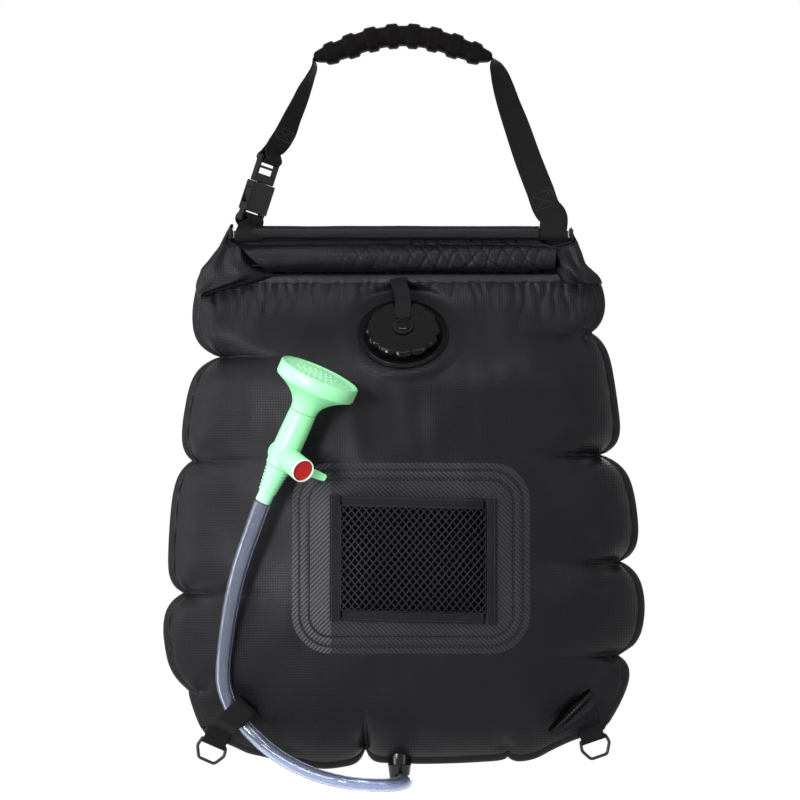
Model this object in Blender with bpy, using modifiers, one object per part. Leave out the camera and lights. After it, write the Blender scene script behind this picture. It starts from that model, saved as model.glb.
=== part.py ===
"""A hanging camp shower bag: a rolled-top water bag on a webbing handle, with hose and shower head.

Metres, +Z up, +X to the right, the front of the bag facing -Y. The origin is the hanging point,
under the apex of the grip. The handle is one body, and the bag swings below it on the stiffener rod.
"""

import math

import bmesh
import bpy
import numpy as np
from mathutils import Matrix, Vector

# Clearances and cuts
TOUCH = 0.0003
RUNNING = 0.0004
OVERRUN = 0.004

# Handle webbing and grip
HANDLE_DROP = 0.167
WEBBING_WIDTH = 0.025
WEBBING_THICKNESS = 0.0014
PLY_GAP = 0.0004
RIGHT_LOOP_REACH = 0.135
LEFT_LOOP_REACH = 0.1385
LOOP_LEG = 0.012
BAND_SLACK = 0.0014
BAND_TWIST_SHARES = ((0.3, 0.12), (0.5, 0.5), (0.7, 0.88))
GRIP_CHORD = 0.160
GRIP_HEIGHT = 0.0190
GRIP_DEPTH = 0.031
GRIP_TIP_SHARE = 0.70
GRIP_TIP_POWER = 8
GRIP_SIDES = 16
GRIP_STEPS = 13
GRIP_SLOT_SHARE = 0.2
LUG_HEIGHT = 0.0022
LUG_COUNT = 8
LUG_WIDTH_SHARE = 0.46
GRIP_DROP_SHARES = (
    (-1.0, 0.244),
    (-0.8, 0.192),
    (-0.6, 0.121),
    (-0.4, 0.054),
    (-0.2, 0.014),
    (0.0, 0.000),
    (0.2, 0.014),
    (0.4, 0.054),
    (0.6, 0.121),
    (0.8, 0.192),
    (1.0, 0.244),
)

# Where the handle webbing runs outside the grip: across and down as shares of the handle's drop,
# and its turn as a share of a quarter, 1 being edge-on to the front and 0 flat to it
LEFT_STRAP_SHARES = (
    (-0.477, 0.092, 0.90),
    (-0.501, 0.156, 0.81),
    (-0.531, 0.221, 0.70),
    (-0.558, 0.286, 0.64),
    (-0.598, 0.372, 0.56),
    (-0.636, 0.458, 0.47),
    (-0.677, 0.520, 0.50),
)
RIGHT_STRAP_SHARES = (
    (0.496, 0.081, 0.75),
    (0.515, 0.124, 0.60),
    (0.539, 0.199, 0.46),
    (0.566, 0.286, 0.38),
    (0.612, 0.415, 0.25),
    (0.671, 0.587, 0.15),
    (0.738, 0.760, 0.05),
    (0.781, 0.868, 0.00),
)

# Side-release buckle, in its own frame: width, thickness, and heights from its middle
BUCKLE_ACROSS = -0.1292
BUCKLE_DOWN = 0.1265
BUCKLE_LEAN = math.radians(18.0)
BUCKLE_TURN = math.radians(55.0)
BUCKLE_WIDTH = 0.033
SOCKET_THICKNESS = 0.0095
SOCKET_WALL = 0.0016
SOCKET_LENGTH = 0.037
SOCKET_ABOVE = 0.006
BAR_HEIGHT = 0.0044
BAR_THICKNESS = 0.006
SLOT_HEIGHT = 0.0052
PLUG_LENGTH = 0.0247
PLUG_WIDTH = 0.030
TONGUE_WIDTH = 0.006
TONGUE_LENGTH = 0.018
POCKET_DEPTH = 0.023
WINDOW_TOP = 0.006
WINDOW_HEIGHT = 0.0145
PRONG_REACH = 0.0113
PRONG_ARM = 0.003
PRONG_HEAD = 0.005
PRONG_THICKNESS = 0.005
BUCKLE_EDGE = 0.0008

# Rolled top with its stiffener rod
ROD_RADIUS = 0.0035
ROD_LEFT = 0.1525
ROD_RIGHT = 0.1490
ROD_CAP_RADIUS = 0.0058
ROD_CAP_LENGTH = 0.004
HEM_RADIUS = 0.0065
HEM_LEFT = 0.1232
HEM_RIGHT = 0.1205
ROLL_HEIGHT = 0.027
ROLL_DEPTH = 0.026
ROLL_DROP = 0.0215
ROLL_LEFT = 0.1450
ROLL_RIGHT = 0.1470
ROLL_WEB = 0.006
NECK_FOLD_HEIGHT = 0.009
SHOULDER_THICKNESS = 0.012
SHOULDER_SETBACK_SHARE = 0.55

# Bag panels
BAG_HALF_WIDTH = 0.215
PANEL_HEIGHT = 0.4455
FRONT_DEPTH = 0.072
BACK_DEPTH = 0.076
NECK_HALF_DEPTH = 0.009
FABRIC = 0.0010
BAG_SETBACK = 0.014
SEAM_FLANGE = 0.006
PANEL_COLUMNS = 16
PANEL_ROWS = 27
TOP_GRADING = 1.3
COLUMN_GRADING = 0.65
SWELL_SHARE = 0.25
FULL_SHARE = 0.62
ROUNDNESS = 2.4
CROWN = 0.7

# The bag's outline: (share of the height, share of the half width) along each side, the pinched
# notches in it as (share along, share deep), and how far each pinch spreads
LEFT_EDGE_SHARES = (
    (0.00, 0.850),
    (0.05, 0.874),
    (0.20, 0.893),
    (0.33, 0.932),
    (0.45, 0.966),
    (0.56, 0.983),
    (0.74, 1.001),
    (0.80, 0.975),
    (0.87, 0.893),
    (0.92, 0.843),
    (0.96, 0.790),
    (1.00, 0.700),
)
RIGHT_EDGE_SHARES = (
    (0.00, 0.812),
    (0.04, 0.842),
    (0.12, 0.858),
    (0.20, 0.880),
    (0.28, 0.905),
    (0.40, 0.955),
    (0.50, 0.985),
    (0.60, 1.004),
    (0.68, 1.013),
    (0.76, 0.994),
    (0.82, 0.955),
    (0.87, 0.907),
    (0.92, 0.845),
    (0.96, 0.790),
    (1.00, 0.720),
)
LEFT_NOTCH_SHARES = ((0.168, 0.126), (0.378, 0.068), (0.646, 0.085), (0.842, 0.032))
RIGHT_NOTCH_SHARES = ((0.119, 0.074), (0.366, 0.118), (0.582, 0.094), (0.772, 0.090))
BOTTOM_EDGE_SHARES = (
    (-1.00, 0.130),
    (-0.82, 0.068),
    (-0.71, 0.045),
    (-0.65, 0.032),
    (-0.59, 0.025),
    (-0.45, 0.010),
    (-0.33, 0.000),
    (-0.24, 0.004),
    (-0.08, 0.011),
    (0.09, 0.010),
    (0.25, 0.012),
    (0.39, 0.015),
    (0.49, 0.014),
    (0.56, 0.022),
    (0.62, 0.037),
    (0.70, 0.055),
    (0.83, 0.077),
    (1.00, 0.135),
)
BOTTOM_NOTCH_SHARES = ((-0.158, 0.036), (0.440, 0.011))
NOTCH_SPREAD_SHARE = 0.022
ROW_MARGIN_SHARE = 0.011
CREASE_SHARE = 0.2

# Shoulder folds at the ends of the roll: across as shares of the bag's half width, and down as
# shares of the way from the rod to the panels' top edge
LEFT_SHOULDER_SHARES = (
    (0.738, -0.074),
    (0.738, 0.209),
    (0.683, 0.209),
    (0.683, 0.998),
    (0.850, 0.998),
    (0.837, 0.811),
    (0.812, 0.553),
    (0.791, 0.295),
    (0.762, 0.037),
    (0.750, -0.074),
)
RIGHT_SHOULDER_SHARES = (
    (0.718, 0.074),
    (0.718, 0.209),
    (0.693, 0.209),
    (0.693, 0.998),
    (0.798, 0.998),
    (0.770, 0.811),
    (0.754, 0.553),
    (0.745, 0.295),
    (0.730, 0.074),
)

# Weld band under the roll
BAND_HEIGHT = 0.0085
BAND_THICKNESS = 0.0009
BAND_REACH_SHARE = 0.665
BAND_COLUMNS = 12

# Filler on the front: neck, cap and tether
FILLER_DOWN = 0.258
FILLER_TILT = math.radians(42.0)
NECK_BORE_RADIUS = 0.0245
NECK_WALL = 0.0025
NECK_HEIGHT = 0.0073
NECK_BELOW = 0.003
FLANGE_RADIUS = 0.041
FLANGE_THICKNESS = 0.0022
FLANGE_LIFT = 0.0007
FLAT_MARGIN = 0.012
FLAT_BLEND = 0.013
CAP_RADIUS = 0.0332
CAP_LOBE = 0.0009
CAP_LOBES = 12
CAP_TOP = 0.0019
CAP_STEPS = 72
GASKET_THICKNESS = 0.0012
TETHER_RING_RADIUS = 0.0094
TETHER_RING_BORE = 0.0042
TETHER_RING_THICKNESS = 0.0016
TETHER_WIDTH = 0.0144
TETHER_THICKNESS = 0.0012
PIN_HEAD_RADIUS = 0.0066
PIN_SHAFT_RADIUS = 0.0036
PIN_HEAD_HEIGHT = 0.0014
PIN_RECESS_RADIUS = 0.0036
PIN_RECESS_DEPTH = 0.0008
THREAD_PITCH = 0.005

# Front patch and mesh pocket
PATCH_WIDTH = 0.2178
PATCH_HEIGHT = 0.1755
PATCH_ACROSS = 0.0072
PATCH_TOP = 0.3700
PATCH_CORNER = 0.037
PATCH_THICKNESS = 0.0012
PATCH_COLUMNS = 14
PATCH_ROWS = 12
POCKET_WIDTH = 0.1494
POCKET_HEIGHT = 0.1125
POCKET_ACROSS = 0.0090
POCKET_TOP = 0.4025
POCKET_SLOPE_SHARE = 0.024
TAPE_WIDTH = 0.0098
TAPE_THICKNESS = 0.0016
POCKET_BOW = 0.010
POCKET_COLUMNS = 8
NET_COLUMNS = 10
NET_ROWS = 7
NET_STRAND = 0.0012

# Corner straps and their D-rings: places along the half width
LEFT_RING_SHARE = -0.784
RIGHT_RING_SHARE = 0.790
RING_WIRE_RADIUS = 0.0013
RING_WIDTH = 0.0262
RING_LENGTH = 0.0175
RING_SHARES = (
    (-0.450, 0.00),
    (-0.500, 0.25),
    (-0.500, 0.52),
    (-0.420, 0.80),
    (-0.230, 1.00),
    (0.230, 1.00),
    (0.420, 0.80),
    (0.500, 0.52),
    (0.500, 0.25),
    (0.450, 0.00),
)
RING_STEPS = 3
RING_STANDOFF = 0.0025
CORNER_STRAP_WIDTH = 0.0215
RIGHT_STRAP_SPREAD_SHARE = 1.25
STRAP_CREST = 0.0290
HOSE_CREST = 0.0430
LEFT_STRAP_RISE_SHARES = (
    (0.00, 0.00),
    (0.03, 0.96),
    (0.10, 1.02),
    (0.34, 1.03),
    (0.66, 1.00),
    (0.77, 0.80),
    (0.90, 0.42),
    (1.00, 0.15),
)
RIGHT_STRAP_RISE_SHARES = (
    (0.00, 0.75),
    (0.20, 0.90),
    (0.40, 0.80),
    (0.60, 0.55),
    (0.80, 0.30),
    (1.00, 0.10),
)
STRAP_TAIL = 0.006
LEFT_ANCHOR_SHARES = (-0.6488, 0.8691)
RIGHT_ANCHOR_SHARES = (0.6977, 0.8815)

# Outlet spout: a barrel with an elbow to the front
SPOUT_ACROSS = -0.0032
SPOUT_RADIUS = 0.0102
SPOUT_TIP_RADIUS = 0.0086
SPOUT_BORE = 0.0050
SPOUT_ABOVE = 0.017
SPOUT_FLANGE_RADIUS = 0.0135
SPOUT_FLANGE_THICKNESS = 0.003
SPOUT_DROP = 0.0157
OUTLET_RADIUS = 0.0070
OUTLET_LENGTH = 0.0150
OUTLET_TURN = math.radians(8.0)

# Hose
HOSE_DIAMETER = 0.0135
HOSE_BEVEL_RESOLUTION = 2
HOSE_ROUTE = (
    (-0.0010, -0.0153, -0.6582),
    (0.0010, -0.0285, -0.6582),
    (0.0024, -0.0415, -0.6586),
    (0.0018, -0.0545, -0.6592),
    (-0.0018, -0.0665, -0.6598),
    (-0.0090, -0.0770, -0.6602),
    (-0.0198, -0.0848, -0.6602),
    (-0.0325, -0.0888, -0.6596),
    (-0.0462, -0.0885, -0.6583),
    (-0.0600, -0.0843, -0.6560),
    (-0.0732, -0.0775, -0.6528),
    (-0.0860, -0.0695, -0.6484),
    (-0.0982, -0.0610, -0.6430),
    (-0.1100, -0.0525, -0.6364),
    (-0.1215, -0.0450, -0.6284),
    (-0.1325, -0.0390, -0.6187),
    (-0.1432, -0.0352, -0.6078),
    (-0.1525, -0.0338, -0.5955),
    (-0.1585, -0.0345, -0.5825),
    (-0.1615, -0.0370, -0.5692),
    (-0.1617, -0.0410, -0.5556),
    (-0.1606, -0.0460, -0.5421),
    (-0.1588, -0.0515, -0.5285),
    (-0.1568, -0.0570, -0.5150),
    (-0.1545, -0.0622, -0.5015),
    (-0.1518, -0.0668, -0.4880),
    (-0.1486, -0.0708, -0.4745),
    (-0.1448, -0.0740, -0.4612),
    (-0.1405, -0.0768, -0.4480),
    (-0.1357, -0.0793, -0.4350),
    (-0.1308, -0.0813, -0.4210),
    (-0.1256, -0.0834, -0.4074),
)
HOSE_STEPS = 40

# Shower head, in its own frame: +Z along the stem to the rose, +X along the valve barrel
HEAD_TAIL = (-0.1254, -0.0835, -0.4069)
HEAD_AXIS = (0.405, -0.175, 0.897)
BARREL_AXIS = (0.435, -0.788, -0.435)
TAIL_TO_BARREL = 0.0465
BARREL_TO_FACE = 0.081
ROSE_RADIUS = 0.037
RIM_HEIGHT = 0.013
HEAD_WALL = 0.0022
NECK_DOWN = 0.0375
STEM_RADIUS = 0.0122
STEM_BORE = 0.0048
COUPLING_LENGTH = 0.0348
COUPLING_TOP_RADIUS = 0.0112
COUPLING_TIP_RADIUS = 0.0071
COUPLING_RIBS = 8
RIB_HEIGHT = 0.0005
BARREL_RADIUS = 0.0108
BARREL_BORE = 0.0088
BARREL_FRONT = 0.038
BARREL_BACK = 0.0115
BUTTON_HEIGHT = 0.004
BUTTON_RECESS = 0.0012
PLUNGER_RADIUS = 0.0070
PLUNGER_WAIST = 0.0042
PLUNGER_LENGTH = 0.0362
BUTTON_TRAVEL = 0.005
O_RING_WIRE = 0.0011
ROSE_THICKNESS = 0.002
ROSE_RECESS = 0.0012
ROSE_HOLE_RADIUS = 0.0009
ROSE_HOLE_RINGS = ((0.0, 1), (0.34, 6), (0.70, 10))
TAB_LENGTH = 0.0175
TAB_WIDTH = 0.0085
TAB_THICKNESS = 0.003
TAB_BACK = 0.006
TAB_TURN = math.radians(168.0)
HEAD_STEPS = 24

PARTS = "camp_shower_bag"
CUTTERS = "cutters"


def smoothstep(share):
    share = np.clip(share, 0.0, 1.0)
    return share * share * (3.0 - 2.0 * share)


def through(table, at):
    """A smooth curve through the table's (place, value) rows, read at the given places."""
    places, values = np.array(table, float).T
    slopes = np.gradient(values, places)
    index = np.clip(np.searchsorted(places, at, side="right") - 1, 0, len(places) - 2)
    span = places[index + 1] - places[index]
    u = np.clip((at - places[index]) / span, 0.0, 1.0)
    first = (1 + 2 * u) * (1 - u) ** 2 * values[index] + u * (1 - u) ** 2 * span * slopes[index]
    second = u * u * (3 - 2 * u) * values[index + 1] + u * u * (u - 1) * span * slopes[index + 1]
    return first + second


def pinched(notches, at):
    """How deep the notches cut in at the given places, each a cusp that fades both ways."""
    depth = np.zeros_like(np.asarray(at, float))
    for place, deep in notches:
        depth = depth + deep * np.exp(-np.abs(at - place) / NOTCH_SPREAD_SHARE)
    return depth


# The bag's surface

PANEL_TOP = -(HANDLE_DROP + ROLL_DROP + ROLL_HEIGHT / 2 + TOUCH)


def side_edges(z, pinch=1.0):
    """Distances from the middle to the dome's left and right edges at height z."""
    down = np.clip((PANEL_TOP - z) / PANEL_HEIGHT, 0.0, 1.0)
    left = through(LEFT_EDGE_SHARES, down) - pinch * pinched(LEFT_NOTCH_SHARES, down)
    right = through(RIGHT_EDGE_SHARES, down) - pinch * pinched(RIGHT_NOTCH_SHARES, down)
    return left * BAG_HALF_WIDTH - SEAM_FLANGE, right * BAG_HALF_WIDTH - SEAM_FLANGE


def bottom_edge(x, pinch=1.0):
    """Height of the outline's lower edge, rising to the corners and pinched at its notches."""
    across = x / BAG_HALF_WIDTH
    rise = through(BOTTOM_EDGE_SHARES, across) + pinch * pinched(BOTTOM_NOTCH_SHARES, across)
    return PANEL_TOP - PANEL_HEIGHT + rise * PANEL_HEIGHT


def dome_floor(x, pinch=1.0):
    return bottom_edge(x, pinch) + SEAM_FLANGE


def place_across(x, z, pinch):
    left, right = side_edges(z, pinch)
    return np.clip((x + left) / (left + right), 0.0, 1.0)


def place_down(x, z, pinch):
    return np.clip((PANEL_TOP - z) / (PANEL_TOP - dome_floor(x, pinch)), 0.0, 1.0)


def eased(creased, plain, near):
    """The creased value at the edge, turning into the plain one further in."""
    return creased + (plain - creased) * smoothstep(near / CREASE_SHARE)


def natural_fullness(x, z, depth):
    """How far a panel of the given depth stands out from the seam at (x, z)."""
    across, down = place_across(x, z, 1.0), place_down(x, z, 1.0)
    across = eased(across, place_across(x, z, 0.0), np.minimum(across, 1.0 - across))
    down = eased(down, place_down(x, z, 0.0), 1.0 - down)
    crown = (1.0 - np.abs(2.0 * across - 1.0) ** ROUNDNESS) ** CROWN
    swell = NECK_HALF_DEPTH + (depth - NECK_HALF_DEPTH) * smoothstep(down / SWELL_SHARE)
    base = np.clip((down - FULL_SHARE) / (1.0 - FULL_SHARE), 0.0, 1.0)
    return crown * swell * (1.0 - base**ROUNDNESS) ** CROWN


FILLER_DEPTH = float(natural_fullness(np.array(0.0), np.array(-FILLER_DOWN), FRONT_DEPTH))


def front_fullness(x, z):
    """The front panel's fullness, laid flat and tilted where the filler's flange sits."""
    plain = natural_fullness(x, z, FRONT_DEPTH)
    rise = (z + FILLER_DOWN) / math.cos(FILLER_TILT)
    away = np.sqrt(x**2 + rise**2)
    flat = FILLER_DEPTH - math.tan(FILLER_TILT) * (z + FILLER_DOWN)
    margin = FLAT_MARGIN * np.clip(rise / FLANGE_RADIUS, FLAT_MARGIN / FLANGE_RADIUS, 1.0)
    weight = 1.0 - smoothstep((away - FLANGE_RADIUS - margin) / FLAT_BLEND)
    return plain + (flat - plain) * weight


def surface(side, x, z, lift=0.0):
    """The y of the bag's outer skin, lifted off it; side is -1 for the front, 1 for the back."""
    x, z = np.asarray(x, float), np.asarray(z, float)
    full = front_fullness(x, z) if side < 0 else natural_fullness(x, z, BACK_DEPTH)
    return side * (TOUCH / 2 + FABRIC + full + lift)


# Making objects


def clear_scene():
    for obj in list(bpy.data.objects):
        bpy.data.objects.remove(obj, do_unlink=True)


def collection(name):
    found = bpy.data.collections.get(name)
    if found is None:
        found = bpy.data.collections.new(name)
        bpy.context.scene.collection.children.link(found)
    return found


def material(name, colour, roughness, metallic=0.0, alpha=1.0):
    made = bpy.data.materials.get(name)
    if made is None:
        made = bpy.data.materials.new(name)
        made.use_nodes = True
        shader = made.node_tree.nodes["Principled BSDF"]
        shader.inputs["Base Color"].default_value = (*colour, 1.0)
        shader.inputs["Roughness"].default_value = roughness
        shader.inputs["Metallic"].default_value = metallic
        shader.inputs["Alpha"].default_value = alpha
    return made


def fabric_black():
    return material("fabric_black", (0.020, 0.021, 0.028), 0.55)


def webbing_black():
    return material("webbing_black", (0.018, 0.018, 0.020), 0.75)


def rubber_black():
    return material("rubber_black", (0.012, 0.012, 0.013), 0.45)


def plastic_black():
    return material("plastic_black", (0.015, 0.015, 0.017), 0.30)


def patch_grey():
    return material("patch_grey", (0.035, 0.036, 0.042), 0.80)


def plastic_mint():
    return material("plastic_mint", (0.42, 0.85, 0.52), 0.35)


def plastic_red():
    return material("plastic_red", (0.62, 0.03, 0.04), 0.35)


def hose_clear():
    return material("hose_clear", (0.55, 0.60, 0.68), 0.15, alpha=0.5)


def steel_wire():
    return material("steel_wire", (0.35, 0.35, 0.36), 0.30, metallic=1.0)


def rod_white():
    return material("rod_white", (0.75, 0.75, 0.72), 0.50)


def keep(name, data, look, frame=None):
    """Adds an object to the part's collection with its material, placed by a frame."""
    obj = bpy.data.objects.new(name, data)
    collection(PARTS).objects.link(obj)
    if look is not None:
        data.materials.append(look)
    if frame is not None:
        obj.matrix_world = frame
    return obj


def helper(obj):
    """Turns an object into a cutter or a joined shape that isn't a piece of its own."""
    collection(PARTS).objects.unlink(obj)
    collection(CUTTERS).objects.link(obj)
    obj.hide_render = True
    obj.display_type = "WIRE"
    return obj


def combine(obj, other, operation):
    change = obj.modifiers.new(operation.lower(), "BOOLEAN")
    change.operation = operation
    change.object = helper(other)
    return obj


def cut(obj, cutter):
    return combine(obj, cutter, "DIFFERENCE")


def join(obj, other):
    return combine(obj, other, "UNION")


def mesh_of(name, points, faces):
    mesh = bpy.data.meshes.new(name)
    mesh.from_pydata([tuple(map(float, p)) for p in points], [], faces)
    mesh.update()
    return mesh


def grid_faces(rows, columns, flipped, ring=False):
    """Quads over rows of points; ring closes each row on itself."""
    faces = []
    for row in range(rows - 1):
        for column in range(columns if ring else columns - 1):
            after = (column + 1) % columns
            quad = [
                row * columns + column,
                row * columns + after,
                (row + 1) * columns + after,
                (row + 1) * columns + column,
            ]
            faces.append(quad[::-1] if flipped else quad)
    return faces


def thicken(obj, thickness, offset):
    shell = obj.modifiers.new("thickness", "SOLIDIFY")
    shell.thickness = thickness
    shell.offset = offset
    return obj


def soften(obj, width, segments=1):
    edge = obj.modifiers.new("edge", "BEVEL")
    edge.width = width
    edge.segments = segments
    edge.limit_method = "ANGLE"
    return obj


def smooth_shade(obj, angle=math.radians(35.0)):
    obj.data.shade_smooth()
    obj.data.set_sharp_from_angle(angle=angle)
    return obj


def block(name, low, high, look, frame=None):
    """A box between two corners of its frame, from a unit cube."""
    shape = bmesh.new()
    bmesh.ops.create_cube(shape, size=1.0)
    low, high = Vector(low), Vector(high)
    for vertex in shape.verts:
        vertex.co = Vector(
            (high[k] + low[k]) / 2 + vertex.co[k] * (high[k] - low[k]) for k in range(3)
        )
    mesh = bpy.data.meshes.new(name)
    shape.to_mesh(mesh)
    shape.free()
    return keep(name, mesh, look, frame)


def turned(name, profile, look, frame=None, steps=HEAD_STEPS, closed=False):
    """A profile of (radius, height) points, from the top down its outer side, turned about Z."""
    mesh = bpy.data.meshes.new(name)
    points = [(float(radius), 0.0, float(height)) for radius, height in profile]
    edges = [(k, k + 1) for k in range(len(points) - 1)]
    if closed:
        edges.append((len(points) - 1, 0))
    mesh.from_pydata(points, edges, [])
    obj = keep(name, mesh, look, frame)
    turn = obj.modifiers.new("turn", "SCREW")
    turn.steps = turn.render_steps = steps
    turn.use_merge_vertices = True
    turn.merge_threshold = 0.00001
    turn.use_smooth_shade = True
    return obj


def rod(name, radius, start, end, look, steps=HEAD_STEPS):
    """A plain cylinder between two points."""
    start, end = Vector(start), Vector(end)
    frame = facing(end - start, (start + end) / 2)
    half = (end - start).length / 2
    return turned(name, ((0.0, half), (radius, half), (radius, -half), (0.0, -half)), look, frame, steps)


def facing(axis, at, across=None):
    """A frame at a point with +Z along the axis, and +X near the given direction."""
    z = Vector(axis).normalized()
    hint = Vector(across) if across is not None else Vector((0.0, -1.0, 0.0))
    if abs(z.dot(hint.normalized())) > 0.99:
        hint = Vector((1.0, 0.0, 0.0))
    x = (hint - z * hint.dot(z)).normalized()
    y = z.cross(x)
    frame = Matrix((x, y, z)).transposed().to_4x4()
    frame.translation = Vector(at)
    return frame


def sheet(name, rows, thickness, offset, look, facing_back=False):
    """An open grid of points, rows running down and columns to the right, made thick."""
    count = len(rows[0])
    points = [point for row in rows for point in row]
    obj = keep(name, mesh_of(name, points, grid_faces(len(rows), count, not facing_back)), look)
    return smooth_shade(thicken(obj, thickness, offset))


def ribbon(name, path, sides, width, thickness, look, square=True):
    """A flat strap along a path; sides gives the direction of its width at each point."""
    path = [Vector(p) for p in path]
    widths = width if isinstance(width, (list, tuple)) else [width] * len(path)
    rows = []
    for k, point in enumerate(path):
        along = (path[min(k + 1, len(path) - 1)] - path[max(k - 1, 0)]).normalized()
        side = Vector(sides[k])
        if square:
            side = side - along * side.dot(along)
        side = side.normalized() * widths[k] / 2
        rows.append([point - side, point + side])
    points = [point for row in rows for point in row]
    obj = keep(name, mesh_of(name, points, grid_faces(len(rows), 2, False)), look)
    return thicken(obj, thickness, 0.0)


def wire(name, points, radius, look, resolution, cyclic=False, frame=None):
    """A round wire or tube along points, as a bevelled curve with filled ends."""
    curve = bpy.data.curves.new(name, "CURVE")
    curve.dimensions = "3D"
    curve.bevel_depth = radius
    curve.bevel_resolution = resolution
    curve.render_resolution_u = 0
    curve.use_fill_caps = not cyclic
    spline = curve.splines.new("POLY")
    spline.points.add(len(points) - 1)
    for knot, point in zip(spline.points, points):
        knot.co = (*point, 1.0)
    spline.use_cyclic_u = cyclic
    return keep(name, curve, look, frame)


def outline(name, points, thickness, look, frame=None):
    """A flat outline, extruded by half its thickness each way."""
    curve = bpy.data.curves.new(name, "CURVE")
    curve.dimensions = "2D"
    curve.fill_mode = "BOTH"
    curve.extrude = thickness / 2
    curve.render_resolution_u = 0
    spline = curve.splines.new("POLY")
    spline.points.add(len(points) - 1)
    for knot, point in zip(spline.points, points):
        knot.co = (*point, 0.0, 1.0)
    spline.use_cyclic_u = True
    return keep(name, curve, look, frame)


def flat_solid(name, points, thickness, look, frame=None):
    """A flat outline as a welded mesh, for a piece that is cut or joined."""
    drawn = outline(name + "_outline", points, thickness, None, frame)
    mesh = bpy.data.meshes.new_from_object(drawn.evaluated_get(bpy.context.evaluated_depsgraph_get()))
    shape = bmesh.new()
    shape.from_mesh(mesh)
    bmesh.ops.remove_doubles(shape, verts=shape.verts, dist=0.00001)
    shape.to_mesh(mesh)
    shape.free()
    curve = drawn.data
    bpy.data.objects.remove(drawn, do_unlink=True)
    bpy.data.curves.remove(curve)
    return keep(name, mesh, look, frame)


def curve_through(points, count):
    """Evenly spaced points on a smooth curve through hand-set ones."""
    knots = np.array(points, float)
    chord = np.concatenate([[0.0], np.cumsum(np.linalg.norm(np.diff(knots, axis=0), axis=1))])
    fine = np.linspace(0.0, chord[-1], count * 8)
    line = np.stack([through(list(zip(chord, knots[:, k])), fine) for k in range(3)], axis=1)
    run = np.concatenate([[0.0], np.cumsum(np.linalg.norm(np.diff(line, axis=0), axis=1))])
    even = np.linspace(0.0, run[-1], count)
    return np.stack([np.interp(even, run, line[:, k]) for k in range(3)], axis=1)


# Handle


def grip_place(share):
    """A point on the grip's centreline, from -1 at its left end to 1, and its direction."""
    half = GRIP_CHORD / 2
    around = np.array([share - GRIP_STEP, share, share + GRIP_STEP])
    before, drop, after = through(GRIP_DROP_SHARES, np.clip(around, -1.0, 1.0)) * half
    run = (min(share + GRIP_STEP, 1.0) - max(share - GRIP_STEP, -1.0)) * half
    point = Vector((share * half, 0.0, LUG_HEIGHT + GRIP_HEIGHT / 2 - drop))
    return point, Vector((run, 0.0, before - after)).normalized()


GRIP_STEP = 0.02


def grip_stations():
    """Where the grip's sections stand, as (share of its length, growth of the section)."""
    rows = [(0.0, -0.5), (0.015, -0.1)]
    pitch = 1.0 / (LUG_COUNT + 0.6)
    for lug in range(LUG_COUNT):
        middle = 0.5 + (lug - (LUG_COUNT - 1) / 2) * pitch
        half = LUG_WIDTH_SHARE * pitch / 2
        rows += [(middle - half * 1.25, 0.0), (middle - half, 1.0), (middle + half, 1.0)]
        rows += [(middle + half * 1.25, 0.0)]
    return rows + [(0.985, -0.1), (1.0, -0.5)]


def grip_section(share, growth):
    """One ring of the grip: a rounded oblong, smaller at the tips and larger on a lug."""
    point, along = grip_place(2 * share - 1)
    taper = GRIP_TIP_SHARE + (1 - GRIP_TIP_SHARE) * (1 - abs(2 * share - 1) ** GRIP_TIP_POWER)
    tall = GRIP_HEIGHT / 2 * taper + LUG_HEIGHT * growth
    deep = GRIP_DEPTH / 2 + LUG_HEIGHT * growth / 2
    up = Vector((-along.z, 0.0, along.x))
    ring = []
    for k in range(GRIP_SIDES):
        turn = 2 * math.pi * k / GRIP_SIDES
        c, s = math.cos(turn), math.sin(turn)
        y = math.copysign(abs(c) ** 0.6, c) * deep
        z = math.copysign(abs(s) ** 0.75, s) * tall
        ring.append(point + Vector((0.0, 1.0, 0.0)) * y + up * z)
    return ring


def make_grip():
    """The moulded grip with its lugs, and the slot that the webbing runs through."""
    rings = [grip_section(*station) for station in grip_stations()]
    points = [point for ring in rings for point in ring]
    faces = grid_faces(len(rings), GRIP_SIDES, True, ring=True)
    last = (len(rings) - 1) * GRIP_SIDES
    faces.append(list(range(GRIP_SIDES)))
    faces.append([last + k for k in range(GRIP_SIDES)][::-1])
    obj = smooth_shade(keep("grip", mesh_of("grip", points, faces), rubber_black()))
    path = [grip_place(share)[0] for share in np.linspace(-1.0, 1.0, GRIP_STEPS)]
    path = [path[0] * 2 - path[1], *path, path[-1] * 2 - path[-2]]
    width, thickness = WEBBING_WIDTH + 2 * TOUCH, WEBBING_THICKNESS + 2 * TOUCH
    slot = ribbon("grip_slot", path, [(0.0, 1.0, 0.0)] * len(path), width, thickness, None)
    return cut(obj, slot)


def buckle_frame():
    """The buckle's frame: +Z up its length, +X across its width, +Y through its thickness."""
    up = Vector((math.sin(BUCKLE_LEAN), 0.0, math.cos(BUCKLE_LEAN)))
    flat = Vector((math.cos(BUCKLE_LEAN), 0.0, -math.sin(BUCKLE_LEAN)))
    across = flat * math.cos(BUCKLE_TURN) + Vector((0.0, 1.0, 0.0)) * math.sin(BUCKLE_TURN)
    frame = Matrix((across, up.cross(across), up)).transposed().to_4x4()
    frame.translation = Vector((BUCKLE_ACROSS, 0.0, -BUCKLE_DOWN))
    return frame


PLUG_TOP = SOCKET_ABOVE + TOUCH + PLUG_LENGTH
PLUG_BAR = PLUG_TOP - BAR_HEIGHT / 2
SOCKET_BOTTOM = SOCKET_ABOVE - SOCKET_LENGTH
SOCKET_BAR = SOCKET_BOTTOM + BAR_HEIGHT / 2


def loop_radius(half, square):
    """The webbing centreline's distance round a bar, with room for a square bar's corners."""
    return half * (math.sqrt(2) if square else 1.0) + RUNNING + WEBBING_THICKNESS / 2


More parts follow.
